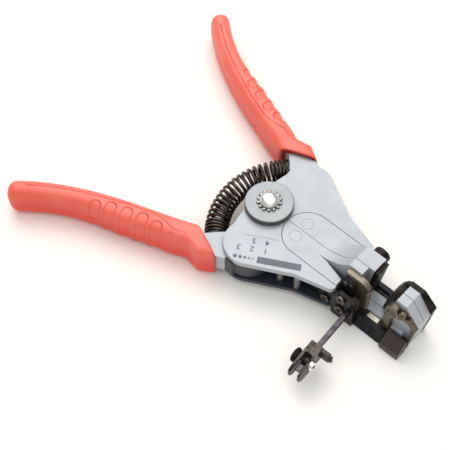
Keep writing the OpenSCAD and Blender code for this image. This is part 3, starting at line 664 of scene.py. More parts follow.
def link(name: str, data: bpy.types.ID) -> bpy.types.Object:
    """Makes an object and puts it in the scene.

    Args:
        name: The object's name.
        data: Its mesh, curve, lamp or camera.

    Returns:
        The object.
    """
    piece = bpy.data.objects.new(name, data)
    bpy.context.scene.collection.objects.link(piece)
    return piece


def settle(piece: bpy.types.Object, crease: float = CREASE) -> bpy.types.Object:
    """Turns a piece with modifiers into a plain mesh with sharp edges by angle.

    Args:
        piece: A mesh or curve object.
        crease: Edges that turn by more degrees than this stay sharp in shading.

    Returns:
        A plain mesh object of the same name.
    """
    name = piece.name
    graph = bpy.context.evaluated_depsgraph_get()
    mesh = bpy.data.meshes.new_from_object(piece.evaluated_get(graph))
    bpy.data.objects.remove(piece)
    mesh.name = name
    if crease > 0:
        mesh.shade_smooth()
        mesh.set_sharp_from_angle(angle=math.radians(crease))
    return link(name, mesh)


def mesh_of(name: str, points: np.ndarray, faces: Sequence[Sequence[int]]) -> bpy.types.Object:
    """A mesh object from points in millimetres, with its faces turned outwards.

    Args:
        name: The object's name.
        points: Rows of X, Y and Z.
        faces: Point numbers of each face.

    Returns:
        The object.
    """
    mesh = bpy.data.meshes.new(name)
    mesh.from_pydata((np.asarray(points, float) * MM).tolist(), [], [list(f) for f in faces])
    solid = bmesh.new()
    solid.from_mesh(mesh)
    bmesh.ops.remove_doubles(solid, verts=solid.verts, dist=WELD)
    bmesh.ops.recalc_face_normals(solid, faces=solid.faces)
    solid.to_mesh(mesh)
    solid.free()
    mesh.validate()
    return link(name, mesh)


def ring_faces(rings: int, sides: int) -> list[list[int]]:
    """Faces of a closed skin over rings of points.

    Args:
        rings: Number of rings.
        sides: Points in each ring.

    Returns:
        The faces.
    """
    faces = []
    for low in range(0, (rings - 1) * sides, sides):
        for j in range(sides):
            after = (j + 1) % sides
            faces.append([low + j, low + after, low + sides + after, low + sides + j])
    return faces + [list(range(sides))[::-1], [(rings - 1) * sides + j for j in range(sides)]]


def turned(name: str, outline: Sequence[Pair], sides: int = 64) -> bpy.types.Object:
    """A body of revolution round Z.

    Args:
        name: The object's name.
        outline: Radius and height of each ring, from one end of the axis to the other.
        sides: Number of sides.

    Returns:
        The object, at the origin.
    """
    angles = np.arange(sides) * 2 * math.pi / sides
    rings = [
        np.column_stack([r * np.cos(angles), r * np.sin(angles), np.full(sides, z)])
        for r, z in outline
    ]
    return mesh_of(name, np.vstack(rings), ring_faces(len(rings), sides))


def joined(name: str, pieces: Sequence[bpy.types.Object]) -> bpy.types.Object:
    """One object from several plain meshes that share a finish.

    Args:
        name: The new object's name.
        pieces: The objects, which are used up.

    Returns:
        The object.
    """
    solid = bmesh.new()
    for piece in pieces:
        solid.from_mesh(piece.data)
        bpy.data.objects.remove(piece)
    mesh = bpy.data.meshes.new(name)
    solid.to_mesh(mesh)
    solid.free()
    return link(name, mesh)


def moved(piece: bpy.types.Object, matrix: Matrix) -> bpy.types.Object:
    """Moves a piece's mesh, so that its object stays at the origin.

    Args:
        piece: The mesh object.
        matrix: How its points move.

    Returns:
        The piece.
    """
    piece.data.transform(matrix)
    piece.data.update()
    return piece


class GrowthTree(TreeBench):
    """A Geometry Nodes tree with named inputs that makes one repeated or swept form."""

    def __init__(self, name: str, sizes: dict[str, float | int | None]) -> None:
        """Starts a tree.

        Args:
            name: The tree's name.
            sizes: Its inputs with their first values, None for a material.
        """
        self.tree = bpy.data.node_groups.new(name, "GeometryNodeTree")
        for way in ("INPUT", "OUTPUT"):
            self.tree.interface.new_socket("Geometry", in_out=way, socket_type="NodeSocketGeometry")
        for size, value in sizes.items():
            socket = self.tree.interface.new_socket(
                size, in_out="INPUT", socket_type="NodeSocket" + SOCKET_KINDS[type(value)]
            )
            if value is not None:
                socket.default_value = value
        self.start = self.add("NodeGroupInput")

    def finish(self, grown: bpy.types.NodeSocket) -> GrowthTree:
        """Ends the tree in Realize Instances and Set Material.

        Args:
            grown: The geometry so far.

        Returns:
            The tree itself.
        """
        real = self.add("GeometryNodeRealizeInstances", {"Geometry": grown})
        coated = self.add(
            "GeometryNodeSetMaterial",
            {"Geometry": real.outputs["Geometry"], "Material": "{Finish}"},
        )
        self.add("NodeGroupOutput", {"Geometry": coated.outputs["Geometry"]})
        return self

    def run(
        self,
        seed: bpy.types.Object,
        finish: bpy.types.Material,
        sizes: dict[str, float],
        crease: float = CREASE,
    ) -> bpy.types.Object:
        """Grows the form from a seed and keeps it as a plain mesh.

        Args:
            seed: The shape or curve that the tree starts from, which is used up.
            finish: The form's material.
            sizes: The tree's other inputs by name.
            crease: Edges over this many degrees stay sharp.

        Returns:
            A plain mesh object with the seed's name.
        """
        growth = seed.modifiers.new("growth", "NODES")
        growth.node_group = self.tree
        values = {"Finish": finish, **sizes}
        for item in self.tree.interface.items_tree:
            if item.item_type == "SOCKET" and item.in_out == "INPUT" and item.name in values:
                growth[item.identifier] = values[item.name]
        return settle(seed, crease)


def swept_wire_tree() -> GrowthTree:
    """A round wire along a curve.

    Returns:
        A tree with the inputs Wire Radius, Sides and Finish.
    """
    grow = GrowthTree("wire_along_path", {"Wire Radius": 0.0006, "Sides": 12, "Finish": None})
    section = grow.add(
        "GeometryNodeCurvePrimitiveCircle", {"Resolution": "{Sides}", "Radius": "{Wire Radius}"}
    )
    wire = grow.add(
        "GeometryNodeCurveToMesh",
        {"Curve": "{Geometry}", "Profile Curve": section.outputs["Curve"], "Fill Caps": True},
    )
    return grow.finish(wire.outputs["Mesh"])


def ring_tree() -> GrowthTree:
    """Copies of a shape set evenly round Z, each turned with its place.

    Returns:
        A tree with the inputs Count, Ring Radius, Height and Finish.
    """
    grow = GrowthTree(
        "shapes_round_a_ring", {"Count": 12, "Ring Radius": 0.004, "Height": 0.0, "Finish": None}
    )
    ring = grow.add("GeometryNodeMeshCircle", {"Vertices": "{Count}", "Radius": "{Ring Radius}"})
    lift = grow.add("ShaderNodeCombineXYZ", {"Z": "{Height}"})
    raised = grow.add(
        "GeometryNodeTransform",
        {"Geometry": ring.outputs["Mesh"], "Translation": lift.outputs["Vector"]},
    )
    step = grow.add("ShaderNodeMath", {0: 2 * math.pi, 1: "{Count}"}, operation="DIVIDE")
    number = grow.add("GeometryNodeInputIndex")
    angle = grow.add(
        "ShaderNodeMath", {0: number.outputs["Index"], 1: step.outputs["Value"]},
        operation="MULTIPLY",
    )
    turn = grow.add("ShaderNodeCombineXYZ", {"Z": angle.outputs["Value"]})
    turn_of = grow.add("FunctionNodeEulerToRotation", {"Euler": turn.outputs["Vector"]})
    copies = grow.add(
        "GeometryNodeInstanceOnPoints",
        {
            "Points": raised.outputs["Geometry"], "Instance": "{Geometry}",
            "Rotation": turn_of.outputs["Rotation"],
        },
    )
    return grow.finish(copies.outputs["Instances"])


def row_tree() -> GrowthTree:
    """Copies of a shape in an even row along X.

    Returns:
        A tree with the inputs Count, Step and Finish.
    """
    grow = GrowthTree("shapes_in_a_row", {"Count": 10, "Step": 0.001, "Finish": None})
    step = grow.add("ShaderNodeCombineXYZ", {"X": "{Step}"})
    line = grow.add(
        "GeometryNodeMeshLine", {"Count": "{Count}", "Offset": step.outputs["Vector"]},
        mode="OFFSET",
    )
    copies = grow.add(
        "GeometryNodeInstanceOnPoints", {"Points": line.outputs["Mesh"], "Instance": "{Geometry}"}
    )
    return grow.finish(copies.outputs["Instances"])


@dataclass
class Workshop:
    """What every sub-assembly needs while it is built.

    Attributes:
        shop: The finishes.
        wire: The tree for wires.
        ring: The tree for rings of shapes.
        row: The tree for rows of shapes.
    """

    frame: dict[str, Any]
    shop: Paintshop = field(default_factory=Paintshop)
    wire: GrowthTree = field(default_factory=swept_wire_tree)
    ring: GrowthTree = field(default_factory=ring_tree)
    row: GrowthTree = field(default_factory=row_tree)

    def ease(self, body: str, *rows: tuple[str, Coat, float]) -> None:
        """Redraws CAD nodes of one body with eased edges.

        Args:
            body: The CAD body.
            rows: Node, finish and bevel width in millimetres.
        """
        for node, coat, width in rows:
            EasedSolid(node, coat, width).build(self, body)

    def place(self, piece: bpy.types.Object, body: str, coat: Coat, *nodes: str) -> None:
        """Dresses a piece, sets it on its body and hides the nodes that it replaces.

        Args:
            piece: The piece.
            body: The CAD body that it rides on.
            coat: Its finish.
            nodes: The CAD nodes that it stands for.
        """
        self.shop.dress(piece, coat)
        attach(piece, body)
        LOG.info("%s rides on %s", piece.name, body)
        if nodes:
            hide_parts(*nodes)


@dataclass
class EasedSolid:
    """A CAD node redrawn with its sharp edges eased by a small bevel.

    Attributes:
        node: The CAD node.
        coat: Its finish.
        width: Width of the bevel in millimetres.
        steps: Segments of the bevel.
        least_turn: Edges that turn by fewer degrees get none.
        crease: Edges that turn by more degrees stay sharp in shading.
        weld: Points nearer than this, in metres, become one.
        flat: Faces that turn by fewer degrees become one.
    """

    node: str
    coat: Coat
    width: float
    steps: int = 2
    least_turn: float = 34.0
    crease: float = 38.0
    weld: float = 2e-6
    flat: float = 0.5

    def build(self, kit: Workshop, body: str) -> None:
        """Makes the piece, which replaces its node.

        Args:
            kit: The workshop.
            body: The CAD body that it rides on.
        """
        solid = bmesh.new()
        solid.from_mesh(kit.frame["nodes"][self.node].data)
        bmesh.ops.remove_doubles(solid, verts=solid.verts, dist=self.weld)
        bmesh.ops.dissolve_limit(
            solid, angle_limit=math.radians(self.flat), verts=solid.verts, edges=solid.edges,
            use_dissolve_boundaries=False,
        )
        mesh = bpy.data.meshes.new(self.node + "_eased")
        solid.to_mesh(mesh)
        solid.free()
        piece = link(self.node + "_eased", mesh)
        bevel = piece.modifiers.new("ease", "BEVEL")
        bevel.width = self.width * MM
        bevel.segments = self.steps
        bevel.limit_method = "ANGLE"
        bevel.angle_limit = math.radians(self.least_turn)
        bevel.use_clamp_overlap = True
        piece = settle(piece, self.crease)
        lead = piece.modifiers.new("large_faces_lead", "WEIGHTED_NORMAL")
        lead.keep_sharp = True
        lead.weight = 100
        kit.place(settle(piece, 0), body, self.coat, self.node)


@dataclass
class PlateMarks:
    """Generic print on the left top plate: a bar, a size scale and plain numbers.

    Attributes:
        top: Height of the plate's face.
        thick: Thickness of the print.
        heading: Reading direction in degrees.
        bar_at: Middle of the bar.
        bar: Length and width of the bar.
        digit: Height of a number.
        digit_share: Share of the type's size that a number is high.
        digit_weight: How much its strokes are thickened, as a share of its height.
        corner: Radius of a slab's corners.
        dot_steps: Place along the bar's line and radius of each dot.
        number_rows: Numbers, start and pitch of each row.
        tick_start: First tick.
        ticks: Number of ticks.
        tick_step: Distance between two ticks.
        tick: Length and width of a tick.
    """

    top: float = 17.5
    thick: float = 0.025
    heading: float = 210.1
    bar_at: Pair = (20.9, -18.0)
    bar: Pair = (17.6, 3.0)
    digit: float = 2.5
    digit_share: float = 0.7
    digit_weight: float = 0.018
    corner: float = 0.18
    dot_steps: tuple[Pair, ...] = (
        (10.6, 0.32), (12.0, 0.46), (13.7, 0.6), (15.6, 0.74), (17.7, 0.88),
    )
    number_rows: tuple[tuple[str, Pair, float], ...] = (
        ("123", (13.2, -17.3), 5.4),
        ("45", (11.3, -13.9), 5.4),
    )
    tick_start: Pair = (13.25, -10.3)
    ticks: int = 11
    tick_step: float = 1.3
    tick: Pair = (0.28, 0.75)

    def _at(self, origin: Pair, along: float = 0.0) -> Matrix:
        """Finds a place on a reading line.

        Args:
            origin: Start of the line.
            along: Distance along it.

        Returns:
            The matrix that sets a mark there.
        """
        turn = math.radians(self.heading)
        x = origin[0] + along * math.cos(turn)
        y = origin[1] + along * math.sin(turn)
        return Matrix.Translation(Vector((x, y, self.top)) * MM) @ Matrix.Rotation(turn, 4, "Z")

    def _slab(self, name: str, length: float, width: float) -> bpy.types.Object:
        """A thin slab of print with rounded corners, centred on the origin.

        Args:
            name: The slab's name.
            length: Its length.
            width: Its width.

        Returns:
            The slab.
        """
        corner, count = min(self.corner, width / 3), 5
        outline = []
        for quarter, (sx, sy) in enumerate([(1, 1), (-1, 1), (-1, -1), (1, -1)]):
            for i in range(count):
                a = math.radians(90 * (quarter + i / (count - 1)))
                outline.append(
                    (sx * (length / 2 - corner) + corner * math.cos(a),
                     sy * (width / 2 - corner) + corner * math.sin(a))
                )
        low = [(x, y, 0.0) for x, y in outline]
        high = [(x, y, self.thick) for x, y in outline]
        return mesh_of(name, np.array(low + high), ring_faces(2, len(outline)))

    def _number(self, text: str) -> bpy.types.Object:
        """A number as a thin mesh, centred on the origin.

        Args:
            text: The number.

        Returns:
            The mesh object.
        """
        curve = bpy.data.curves.new("number_" + text, "FONT")
        curve.body = text
        curve.size = self.digit * MM / self.digit_share
        curve.extrude = self.thick * MM / 2
        curve.offset = self.digit * MM * self.digit_weight
        curve.align_x = "CENTER"
        curve.align_y = "CENTER"
        piece = settle(link("number_" + text, curve), 0)
        return moved(piece, Matrix.Translation((0, 0, self.thick * MM / 2)))

    def build(self, kit: Workshop) -> None:
        """Prints the marks on the left plate.

        Args:
            kit: The workshop.
        """
        parts = [moved(self._slab("bar", *self.bar), self._at(self.bar_at))]
        for along, radius in self.dot_steps:
            dot = turned("dot", [(radius, 0.0), (radius, self.thick)], 28)
            parts.append(moved(dot, self._at(self.bar_at, along)))
        for text, origin, pitch in self.number_rows:
            for i, letter in enumerate(text):
                parts.append(moved(self._number(letter), self._at(origin, i * pitch)))
        ticks = kit.row.run(
            self._slab("tick", *self.tick), kit.shop.material(Coat.INK),
            {"Count": self.ticks, "Step": self.tick_step * MM},
        )
        parts.append(moved(ticks, self._at(self.tick_start)))
        kit.place(joined("plate_print", parts), "left_frame", Coat.INK)


@dataclass
class FrameHalves:
    """The two cast halves with their plates, arms and front blocks.

    Attributes:
        plate_ease: Rounding of the top plates' edges.
        frame_ease: Rounding of the lower castings' edges.
        marks: The print on the left plate.
    """

    plate_ease: float = 0.38
    frame_ease: float = 0.3
    marks: PlateMarks = field(default_factory=PlateMarks)

    def build(self, kit: Workshop) -> None:
        """Builds both halves.

        Args:
            kit: The workshop.
        """
        for side in Side:
            body = f"{side.word}_frame"
            kit.ease(
                body,
                (body, Coat.FRAME, self.frame_ease),
                (f"{side.word}_top_plate", Coat.PAINT, self.plate_ease),
                (f"{side.word}_posts", Coat.POST, 0.1), (f"{side.word}_handle_pin", Coat.PIN, 0.2),
                (f"{side.word}_rail", Coat.RAIL, 0.25),
            )
        self.marks.build(kit)


@dataclass
class MainPivot:
    """The round disc, its pin and the domed push-on cap with a toothed rim.

    Attributes:
        disc_top: Height of the disc's face.
        dome_r: Radius of the dome.
        dome_top: Height of the dome.
        teeth: Number of rim teeth.
        tooth_r: Radius of a tooth.
        tooth_ring: Radius of the ring that the teeth stand on.
        collar_h: Height of the rim.
    """

    disc_top: float = 20.56
    dome_r: float = 3.95
    dome_top: float = 23.82
    teeth: int = 14
    tooth_r: float = 0.74
    tooth_ring: float = 4.5
    collar_h: float = 0.78

    def _cap(self, kit: Workshop) -> None:
        """Builds the domed cap and its teeth.

        Args:
            kit: The workshop.
        """
        base = self.disc_top
        shoulder = base + self.collar_h
        rise = self.dome_top - shoulder - 0.1
        outline = [
            (AXIS_R, base), (self.tooth_ring - 0.1, base), (self.tooth_ring, base + 0.12),
            (self.tooth_ring, shoulder - 0.25), (self.tooth_ring - 0.25, shoulder - 0.08),
            (self.dome_r + 0.05, shoulder - 0.16), (self.dome_r, shoulder),
            *(
                (self.dome_r * math.cos(a) ** 0.86, shoulder + 0.1 + rise * math.sin(a) ** 0.95)
                for a in (math.radians(d) for d in range(6, 90, 6))
            ),
            (AXIS_R, self.dome_top),
        ]
        dome = turned("cap_dome", outline, 72)
        profile = [
            (AXIS_R, 0.0), (0.9, 0.0), (1.0, 0.12), (1.0, 0.62), (0.9, 0.84), (0.62, 0.97),
            (AXIS_R, 1.0),
        ]
        outline = [(r * self.tooth_r, z * self.collar_h) for r, z in profile]
        tooth = turned("cap_teeth", outline, 18)
        moved(tooth, Matrix.Diagonal((1.12, 0.86, 1.0, 1.0)))
        teeth = kit.ring.run(
            tooth, kit.shop.material(Coat.CAP),
            {"Count": self.teeth, "Ring Radius": self.tooth_ring * MM, "Height": base * MM}, 50.0,
        )
        cap = joined("pivot_cap_star", [settle(dome, 40.0), teeth])
        kit.place(cap, "left_frame", Coat.CAP, "pivot_cap")

    def build(self, kit: Workshop) -> None:
        """Builds the pivot.

        Args:
            kit: The workshop.
        """
        kit.ease(
            "left_frame",
            ("pivot_disc", Coat.DISC, 0.28), ("pivot_pin", Coat.PIN, 0.2),
            ("pivot_spacer", Coat.PIN, 0.15),
        )
        self._cap(kit)


@dataclass
class VinylGrip:
    """One vinyl grip: a sleeve with a flared collar, five finger scallops and a curved tip.

    Attributes:
        side: Which half it belongs to.
        root: Start of the centre line.
        lean: Angle between the grip and the body's axis.
        straight: Length of the straight part.
        curve: Length of the curved tip.
        bend: Radius of the tip's curve.
        width: Width in the hand.
        tip_width: Width near the tip.
        high: Height.
        scallops: Place along the grip and start across it of each scallop.
        scallop_r: Half width of a scallop.
        scallop_depth: Its depth.
        scallop_rim: Width of the painted shade line round a scallop.
        seam: Place along the grip and across it of the moulded line.
        seam_depth: Its depth.
        seam_width: Half its width.
        dot: Place along the grip and across it of the small moulded dot, and its radius.
        dot_depth: Its depth.
        tip_drop: Share of the height that is lost at the tip.
        power: Squareness of the hand part's section.
        inset: How far the drawn skin stays inside the solid.
        sides: Points in each ring.
        pitch: Distance between two rings.
        front: Inner and outer end of the collar's mouth, in widths from the root.
        flare: The same at its widest place.
        neck: The same where it meets the hand part.
        lip: How far inside and how deep each ring of the mouth's lip lies, and its painted shade.
    """

    side: Side
    root: Pair = (-16.995, 30.703)
    lean: float = 20.0
    straight: float = 38.0
    curve: float = 36.0
    bend: float = 96.0
    width: float = 11.6
    tip_width: float = 9.0
    high: float = 17.2
    scallops: tuple[Pair, ...] = ((11.9, 2.9), (18.6, 1.4), (25.6, 1.4), (32.6, 1.5), (39.2, 3.0))
    scallop_r: float = 2.35
    scallop_depth: float = 0.55
    scallop_rim: float = 0.26
    seam: tuple[Pair, ...] = (
        (1.8, 4.9), (2.6, 3.95), (4.1, 2.45), (8.2, 0.0), (11.5, -1.6), (15.3, -2.47), (24.4, -2.5),
        (33.4, -2.05), (42.0, -1.2), (51.0, -0.9), (59.5, -0.65), (70.0, -0.4),
    )
    seam_depth: float = 0.24
    seam_width: float = 0.28
    dot: Triple = (5.7, 3.6, 0.42)
    dot_depth: float = 0.22
    tip_drop: float = 0.07
    power: float = 2.75
    inset: float = 0.08
    sides: int = 148
    pitch: float = 0.36
    front: tuple[Pair, Pair] = ((0.103, -0.474), (1.422, 0.069))
    flare: tuple[Pair, Pair] = ((0.009, -0.491), (0.888, 0.422))
    neck: tuple[Pair, Pair] = ((-0.19, -0.44), (0.207, 0.345))
    lip: tuple[Triple, ...] = (
        (1.35, 1.3, 1.0), (1.2, 0.45, 1.0), (0.95, 0.12, 1.0), (0.5, 0.0, 0.95), (0.22, 0.0, 0.9),
    )

    @property
    def length(self) -> float:
        """Length of the centre line."""
        return self.straight + self.curve

    def _heading(self, s: float) -> float:
        """The centre line's angle in radians at a distance from its start."""
        return math.radians(self.lean) + max(0.0, s - self.straight) / self.bend

    def _centre(self, s: float) -> np.ndarray:
        """Finds a point of the centre line.

        Args:
            s: Distance from its start.

        Returns:
            X and Y.
        """
        a, b, d = math.radians(self.lean), self._heading(s), min(s, self.straight)
        return np.array(
            [
                self.root[0] - math.cos(a) * d - self.bend * (math.sin(b) - math.sin(a)),
                self.root[1] + math.sin(a) * d + self.bend * (math.cos(a) - math.cos(b)),
            ]
        )

    def _across(self, s: float) -> np.ndarray:
        """The direction across the grip, towards its outer side."""
        b = self._heading(s)
        return np.array([math.sin(b), math.cos(b)])

    def _half(self, s: float) -> float:
        """Half the width at a place.

        Args:
            s: Distance from the start.

        Returns:
            Half the width.
        """
        u = max(0.0, min(1.0, (s - self.straight * 0.7) / (self.length * 0.37)))
        u = u * u * (3 - 2 * u)
        return (self.width + (self.tip_width - self.width) * u) / 2 - self.inset

    def _tall(self, s: float) -> float:
        """Half the height at a distance from the start."""
        u = max(0.0, min(1.0, s / self.length))
        return self.high / 2 * (1 - self.tip_drop * u * u * (3 - 2 * u))

    def _section(self, half_w: float, half_h: float, power: float) -> tuple[np.ndarray, np.ndarray]:
        """Evenly spaced points of a rounded section and their outward directions.

        Args:
            half_w: Half the width.
            half_h: Half the height.
            power: Squareness, 2 for an ellipse.

        Returns:
            Points and directions, each with columns across and up.
        """
        a = np.linspace(0, 2 * math.pi, 1441)
        c, s = np.cos(a), np.sin(a)
        x = half_w * np.sign(c) * np.abs(c) ** (2 / power)
        z = half_h * np.sign(s) * np.abs(s) ** (2 / power)
        run = np.concatenate([[0], np.cumsum(np.hypot(np.diff(x), np.diff(z)))])
        even = (np.arange(self.sides) + 0.5) / self.sides * run[-1]
        points = np.column_stack([np.interp(even, run, x), np.interp(even, run, z)])
        out = np.column_stack(
            [
                np.sign(points[:, 0]) * np.abs(points[:, 0] / half_w) ** (power - 1) / half_w,
                np.sign(points[:, 1]) * np.abs(points[:, 1] / half_h) ** (power - 1) / half_h,
            ]
        )
        return points, out / np.linalg.norm(out, axis=1)[:, None]

    def _sink(self, s: float, across: np.ndarray) -> tuple[np.ndarray, np.ndarray]:
        """Depth and painted shade of the scallops and the moulded line at a place.

        Args:
            s: Distance along the grip.
            across: Distances across it.

        Returns:
            Depths in millimetres, and how much painted shade each point gets, from 0 to 1.
        """
        depth, tone = np.zeros(len(across)), np.zeros(len(across))
        for at, start in self.scallops:
            round_part = np.hypot(s - at, np.minimum(across - start, 0))
            edge = np.where(across > start, abs(s - at), round_part) - self.scallop_r
            u = np.clip((0.1 - edge) / 0.3, 0, 1)
            slope = 0.72 + 0.28 * np.clip((at - s) / self.scallop_r, -1, 1)
            depth = np.maximum(depth, u * u * (3 - 2 * u) * self.scallop_depth * slope)
            # Painted shade along each scallop's rim, fading across the grip.
            fade = np.clip(1 - (across - start) / 3.6, 0.25, 1)
            tone = np.maximum(tone, 0.75 * fade * np.exp(-((edge / self.scallop_rim) ** 2)))
        # Painted shade along the moulded line and at the dot.
        line = np.interp(s, [p[0] for p in self.seam], [p[1] for p in self.seam])
        if self.seam[0][0] <= s <= self.seam[-1][0]:
            steep = 1.0 if s > 9 else 0.62
            trace = np.exp(-(((across - line) * steep / self.seam_width) ** 2))
            depth += self.seam_depth * trace
            tone = np.maximum(tone, 0.8 * trace)
        dot = np.exp(-((np.hypot(s - self.dot[0], across - self.dot[1]) / self.dot[2]) ** 2))
        return depth + self.dot_depth * dot, np.maximum(tone, 0.6 * dot)

    def _ring(self, s: float, share: float = 1.0, push: float = 0.0) -> np.ndarray:
        """One ring of the hand part, carved and drawn.

        Args:
            s: Distance along the grip.
            share: Share of the full section, below 1 on the tip's cap.
            push: Distance beyond s.

        Returns:
            Rows of X, Y, Z and darkness.
        """
        half_h = self._tall(s) * (0.2 + 0.8 * share)
        points, out = self._section(self._half(s) * share, half_h, self.power)
        tone = np.zeros(len(points))
        if share == 1.0:
            level = (np.abs(out[:, 1]) > 0.2) | (out[:, 0] > 0)
            sink, tone = (np.where(level, part, 0) for part in self._sink(s, points[:, 0]))
            points = points - out * sink[:, None]
        heading = self._heading(s)
        centre = self._centre(s) + push * np.array([-math.cos(heading), math.sin(heading)])
        return self._set(points, centre, self._across(s), tone)

    def _set(
        self, points: np.ndarray, centre: np.ndarray, across: np.ndarray, tone: np.ndarray | float
    ) -> np.ndarray:
        """Sets a section round a centre.

        Args:
            points: The section, with columns across and up.
            centre: X and Y of its centre.
            across: The direction of its width.
            tone: How dark its points are drawn.

        Returns:
            Rows of X, Y, Z and darkness.
        """
        level = points[:, 1] + self.high / 2
        tones = np.full(len(points), 1.0) * tone
        return np.column_stack([centre + points[:, :1] * across, level, tones])

    def _spread(
        self, inner: np.ndarray, outer: np.ndarray, half_h: float, power: float, tone: float = 0.0
    ) -> np.ndarray:
        """One ring of the collar.

        Args:
            inner: X and Y of its inner end.
            outer: X and Y of its outer end.
            half_h: Half its height.
            power: Squareness of its section.
            tone: How dark it is drawn.

        Returns:
            Rows of X, Y, Z and darkness.
        """
        half = np.linalg.norm(outer - inner) / 2
        points, _ = self._section(half, half_h, power)
        return self._set(points, (inner + outer) / 2, (outer - inner) / (2 * half), tone)

    def _collar(self) -> list[np.ndarray]:
        """Rings of the collar, from its mouth round the rim to the hand part.

        Returns:
            The rings, each with rows of X, Y, Z and darkness.
        """
        high = self.high / 2
        front, flare, neck = (
            [np.array(self.root) + np.array(end) * self.width for end in ends]
            for ends in (self.front, self.flare, self.neck)
        )
        face = (front[1] - front[0]) / np.linalg.norm(front[1] - front[0])
        back = np.array([-face[1], face[0]])
        # Painted shade inside the collar's mouth, from the lip's rings and the first two stations.
        rings = [
            self._spread(
                front[0] + face * inset + back * deep, front[1] - face * inset + back * deep,
                high * 0.95 - inset, 5.5, tone,
            )
            for inset, deep, tone in self.lip
        ]
        stations = [
            (front, flare, (0.12, 0.05), 0.97, 5, 0.6), (front, flare, (0.3, 0.14), 0.995, 5, 0.25),
            *((front, flare, (t, t), 1, 5 - 0.6 * t, 0) for t in (0.45, 0.62, 0.8, 0.93, 1.0)),
            *(
                (flare, neck, (t, t), 1 - 0.01 * t, 4.4 - 1.2 * t, 0)
                for t in (0.1, 0.35, 0.65, 0.9)
            ),
        ]
        for start, end, shares, tall, power, tone in stations:
            inner, outer = (a + (b - a) * t for a, b, t in zip(start, end, shares))
            rings.append(self._spread(inner, outer, high * tall, power, tone))
        return rings

    def build(self, kit: Workshop) -> None:
        """Builds the grip as one closed skin.

        Args:
            kit: The workshop.
        """
        rings = self._collar()
        first = self.length / 14
        joint = self._ring(first)
        rings += [rings[-1] + (joint - rings[-1]) * t for t in (0.3, 0.65)]
        rings += [self._ring(s) for s in np.arange(first, self.length, self.pitch)]
        rings += [
            self._ring(self.length, math.cos(a), (self.tip_width / 2 - self.inset) * math.sin(a))
            for a in (math.radians(d) for d in (8, 18, 28, 38, 48, 57, 66, 74, 80, 84))
        ]
        rows = np.vstack(rings)
        rows[:, 1] *= self.side.value
        name = f"{self.side.word}_grip"
        piece = mesh_of(name + "_vinyl", rows[:, :3], ring_faces(len(rings), self.sides))
        piece.data.attributes.new(CREASE_SHADE_ATTRIBUTE, "FLOAT", "POINT").data.foreach_set("value", rows[:, 3])
        piece = settle(piece, 48.0)
        kit.place(piece, f"{self.side.word}_handle", Coat.VINYL, name)


@dataclass
class SqueezeHandle:
    """One handle: the cast neck, its steel cam plate and the vinyl grip.

    Attributes:
        side: Which half it belongs to.
        neck_ease: Rounding of the neck's edges.
    """

    side: Side
    neck_ease: float = 0.35

    def build(self, kit: Workshop) -> None:
        """Builds the handle and its grip.

        Args:
            kit: The workshop.
        """
        word = self.side.word
        kit.ease(
            f"{word}_handle",
            (f"{word}_handle", Coat.NECK, self.neck_ease), (f"{word}_cam_plate", Coat.OXIDE, 0.12),
        )
        VinylGrip(self.side).build(kit)


@dataclass
class JawSlides:
    """The two sliding jaws with their pins, blade, clamp, gripping plate and screws.

    Attributes:
        cast_ease: Rounding of the castings' edges.
        steel_ease: Rounding of the steel pieces' edges.
    """

    cast_ease: float = 0.2
    steel_ease: float = 0.16

    def build(self, kit: Workshop) -> None:
        """Builds both slides.

        Args:
            kit: The workshop.
        """
        for side in Side:
            word = side.word
            kit.ease(
                f"{word}_jaw",
                (f"{word}_jaw_slide", Coat.PAINT, self.cast_ease),
                (f"{word}_slide_pin", Coat.PAINT, 0.12), (f"{word}_drive_stud", Coat.PIN, 0.1),
            )
        kit.ease(
            "left_jaw",
            ("rear_blade", Coat.BLADE, self.steel_ease), ("rear_blade_clamp", Coat.CLAMP, 0.3),
            ("rear_blade_screws", Coat.OXIDE, 0.1),
        )
        kit.ease(
            "right_jaw",
            ("rear_grip_jaw", Coat.OXIDE, 0.08), ("rear_grip_screws", Coat.OXIDE, 0.18),
        )


@dataclass
class FrontJaws:
    """The front blade and the front gripping jaw on the two front blocks.

    Attributes:
        blade_ease: Rounding of the blade's edges.
        jaw_ease: Rounding of the gripping jaw's edges.
    """

    blade_ease: float = 0.16
    jaw_ease: float = 0.14

    def build(self, kit: Workshop) -> None:
        """Builds the front jaws.

        Args:
            kit: The workshop.
        """
        kit.ease(
            "left_frame",
            ("front_blade", Coat.BLADE, self.blade_ease), ("front_blade_screw", Coat.BLADE, 0.12),
        )
        kit.ease(
            "right_frame",
            ("front_grip_jaw", Coat.OXIDE, self.jaw_ease), ("front_grip_screws", Coat.OXIDE, 0.12),
        )


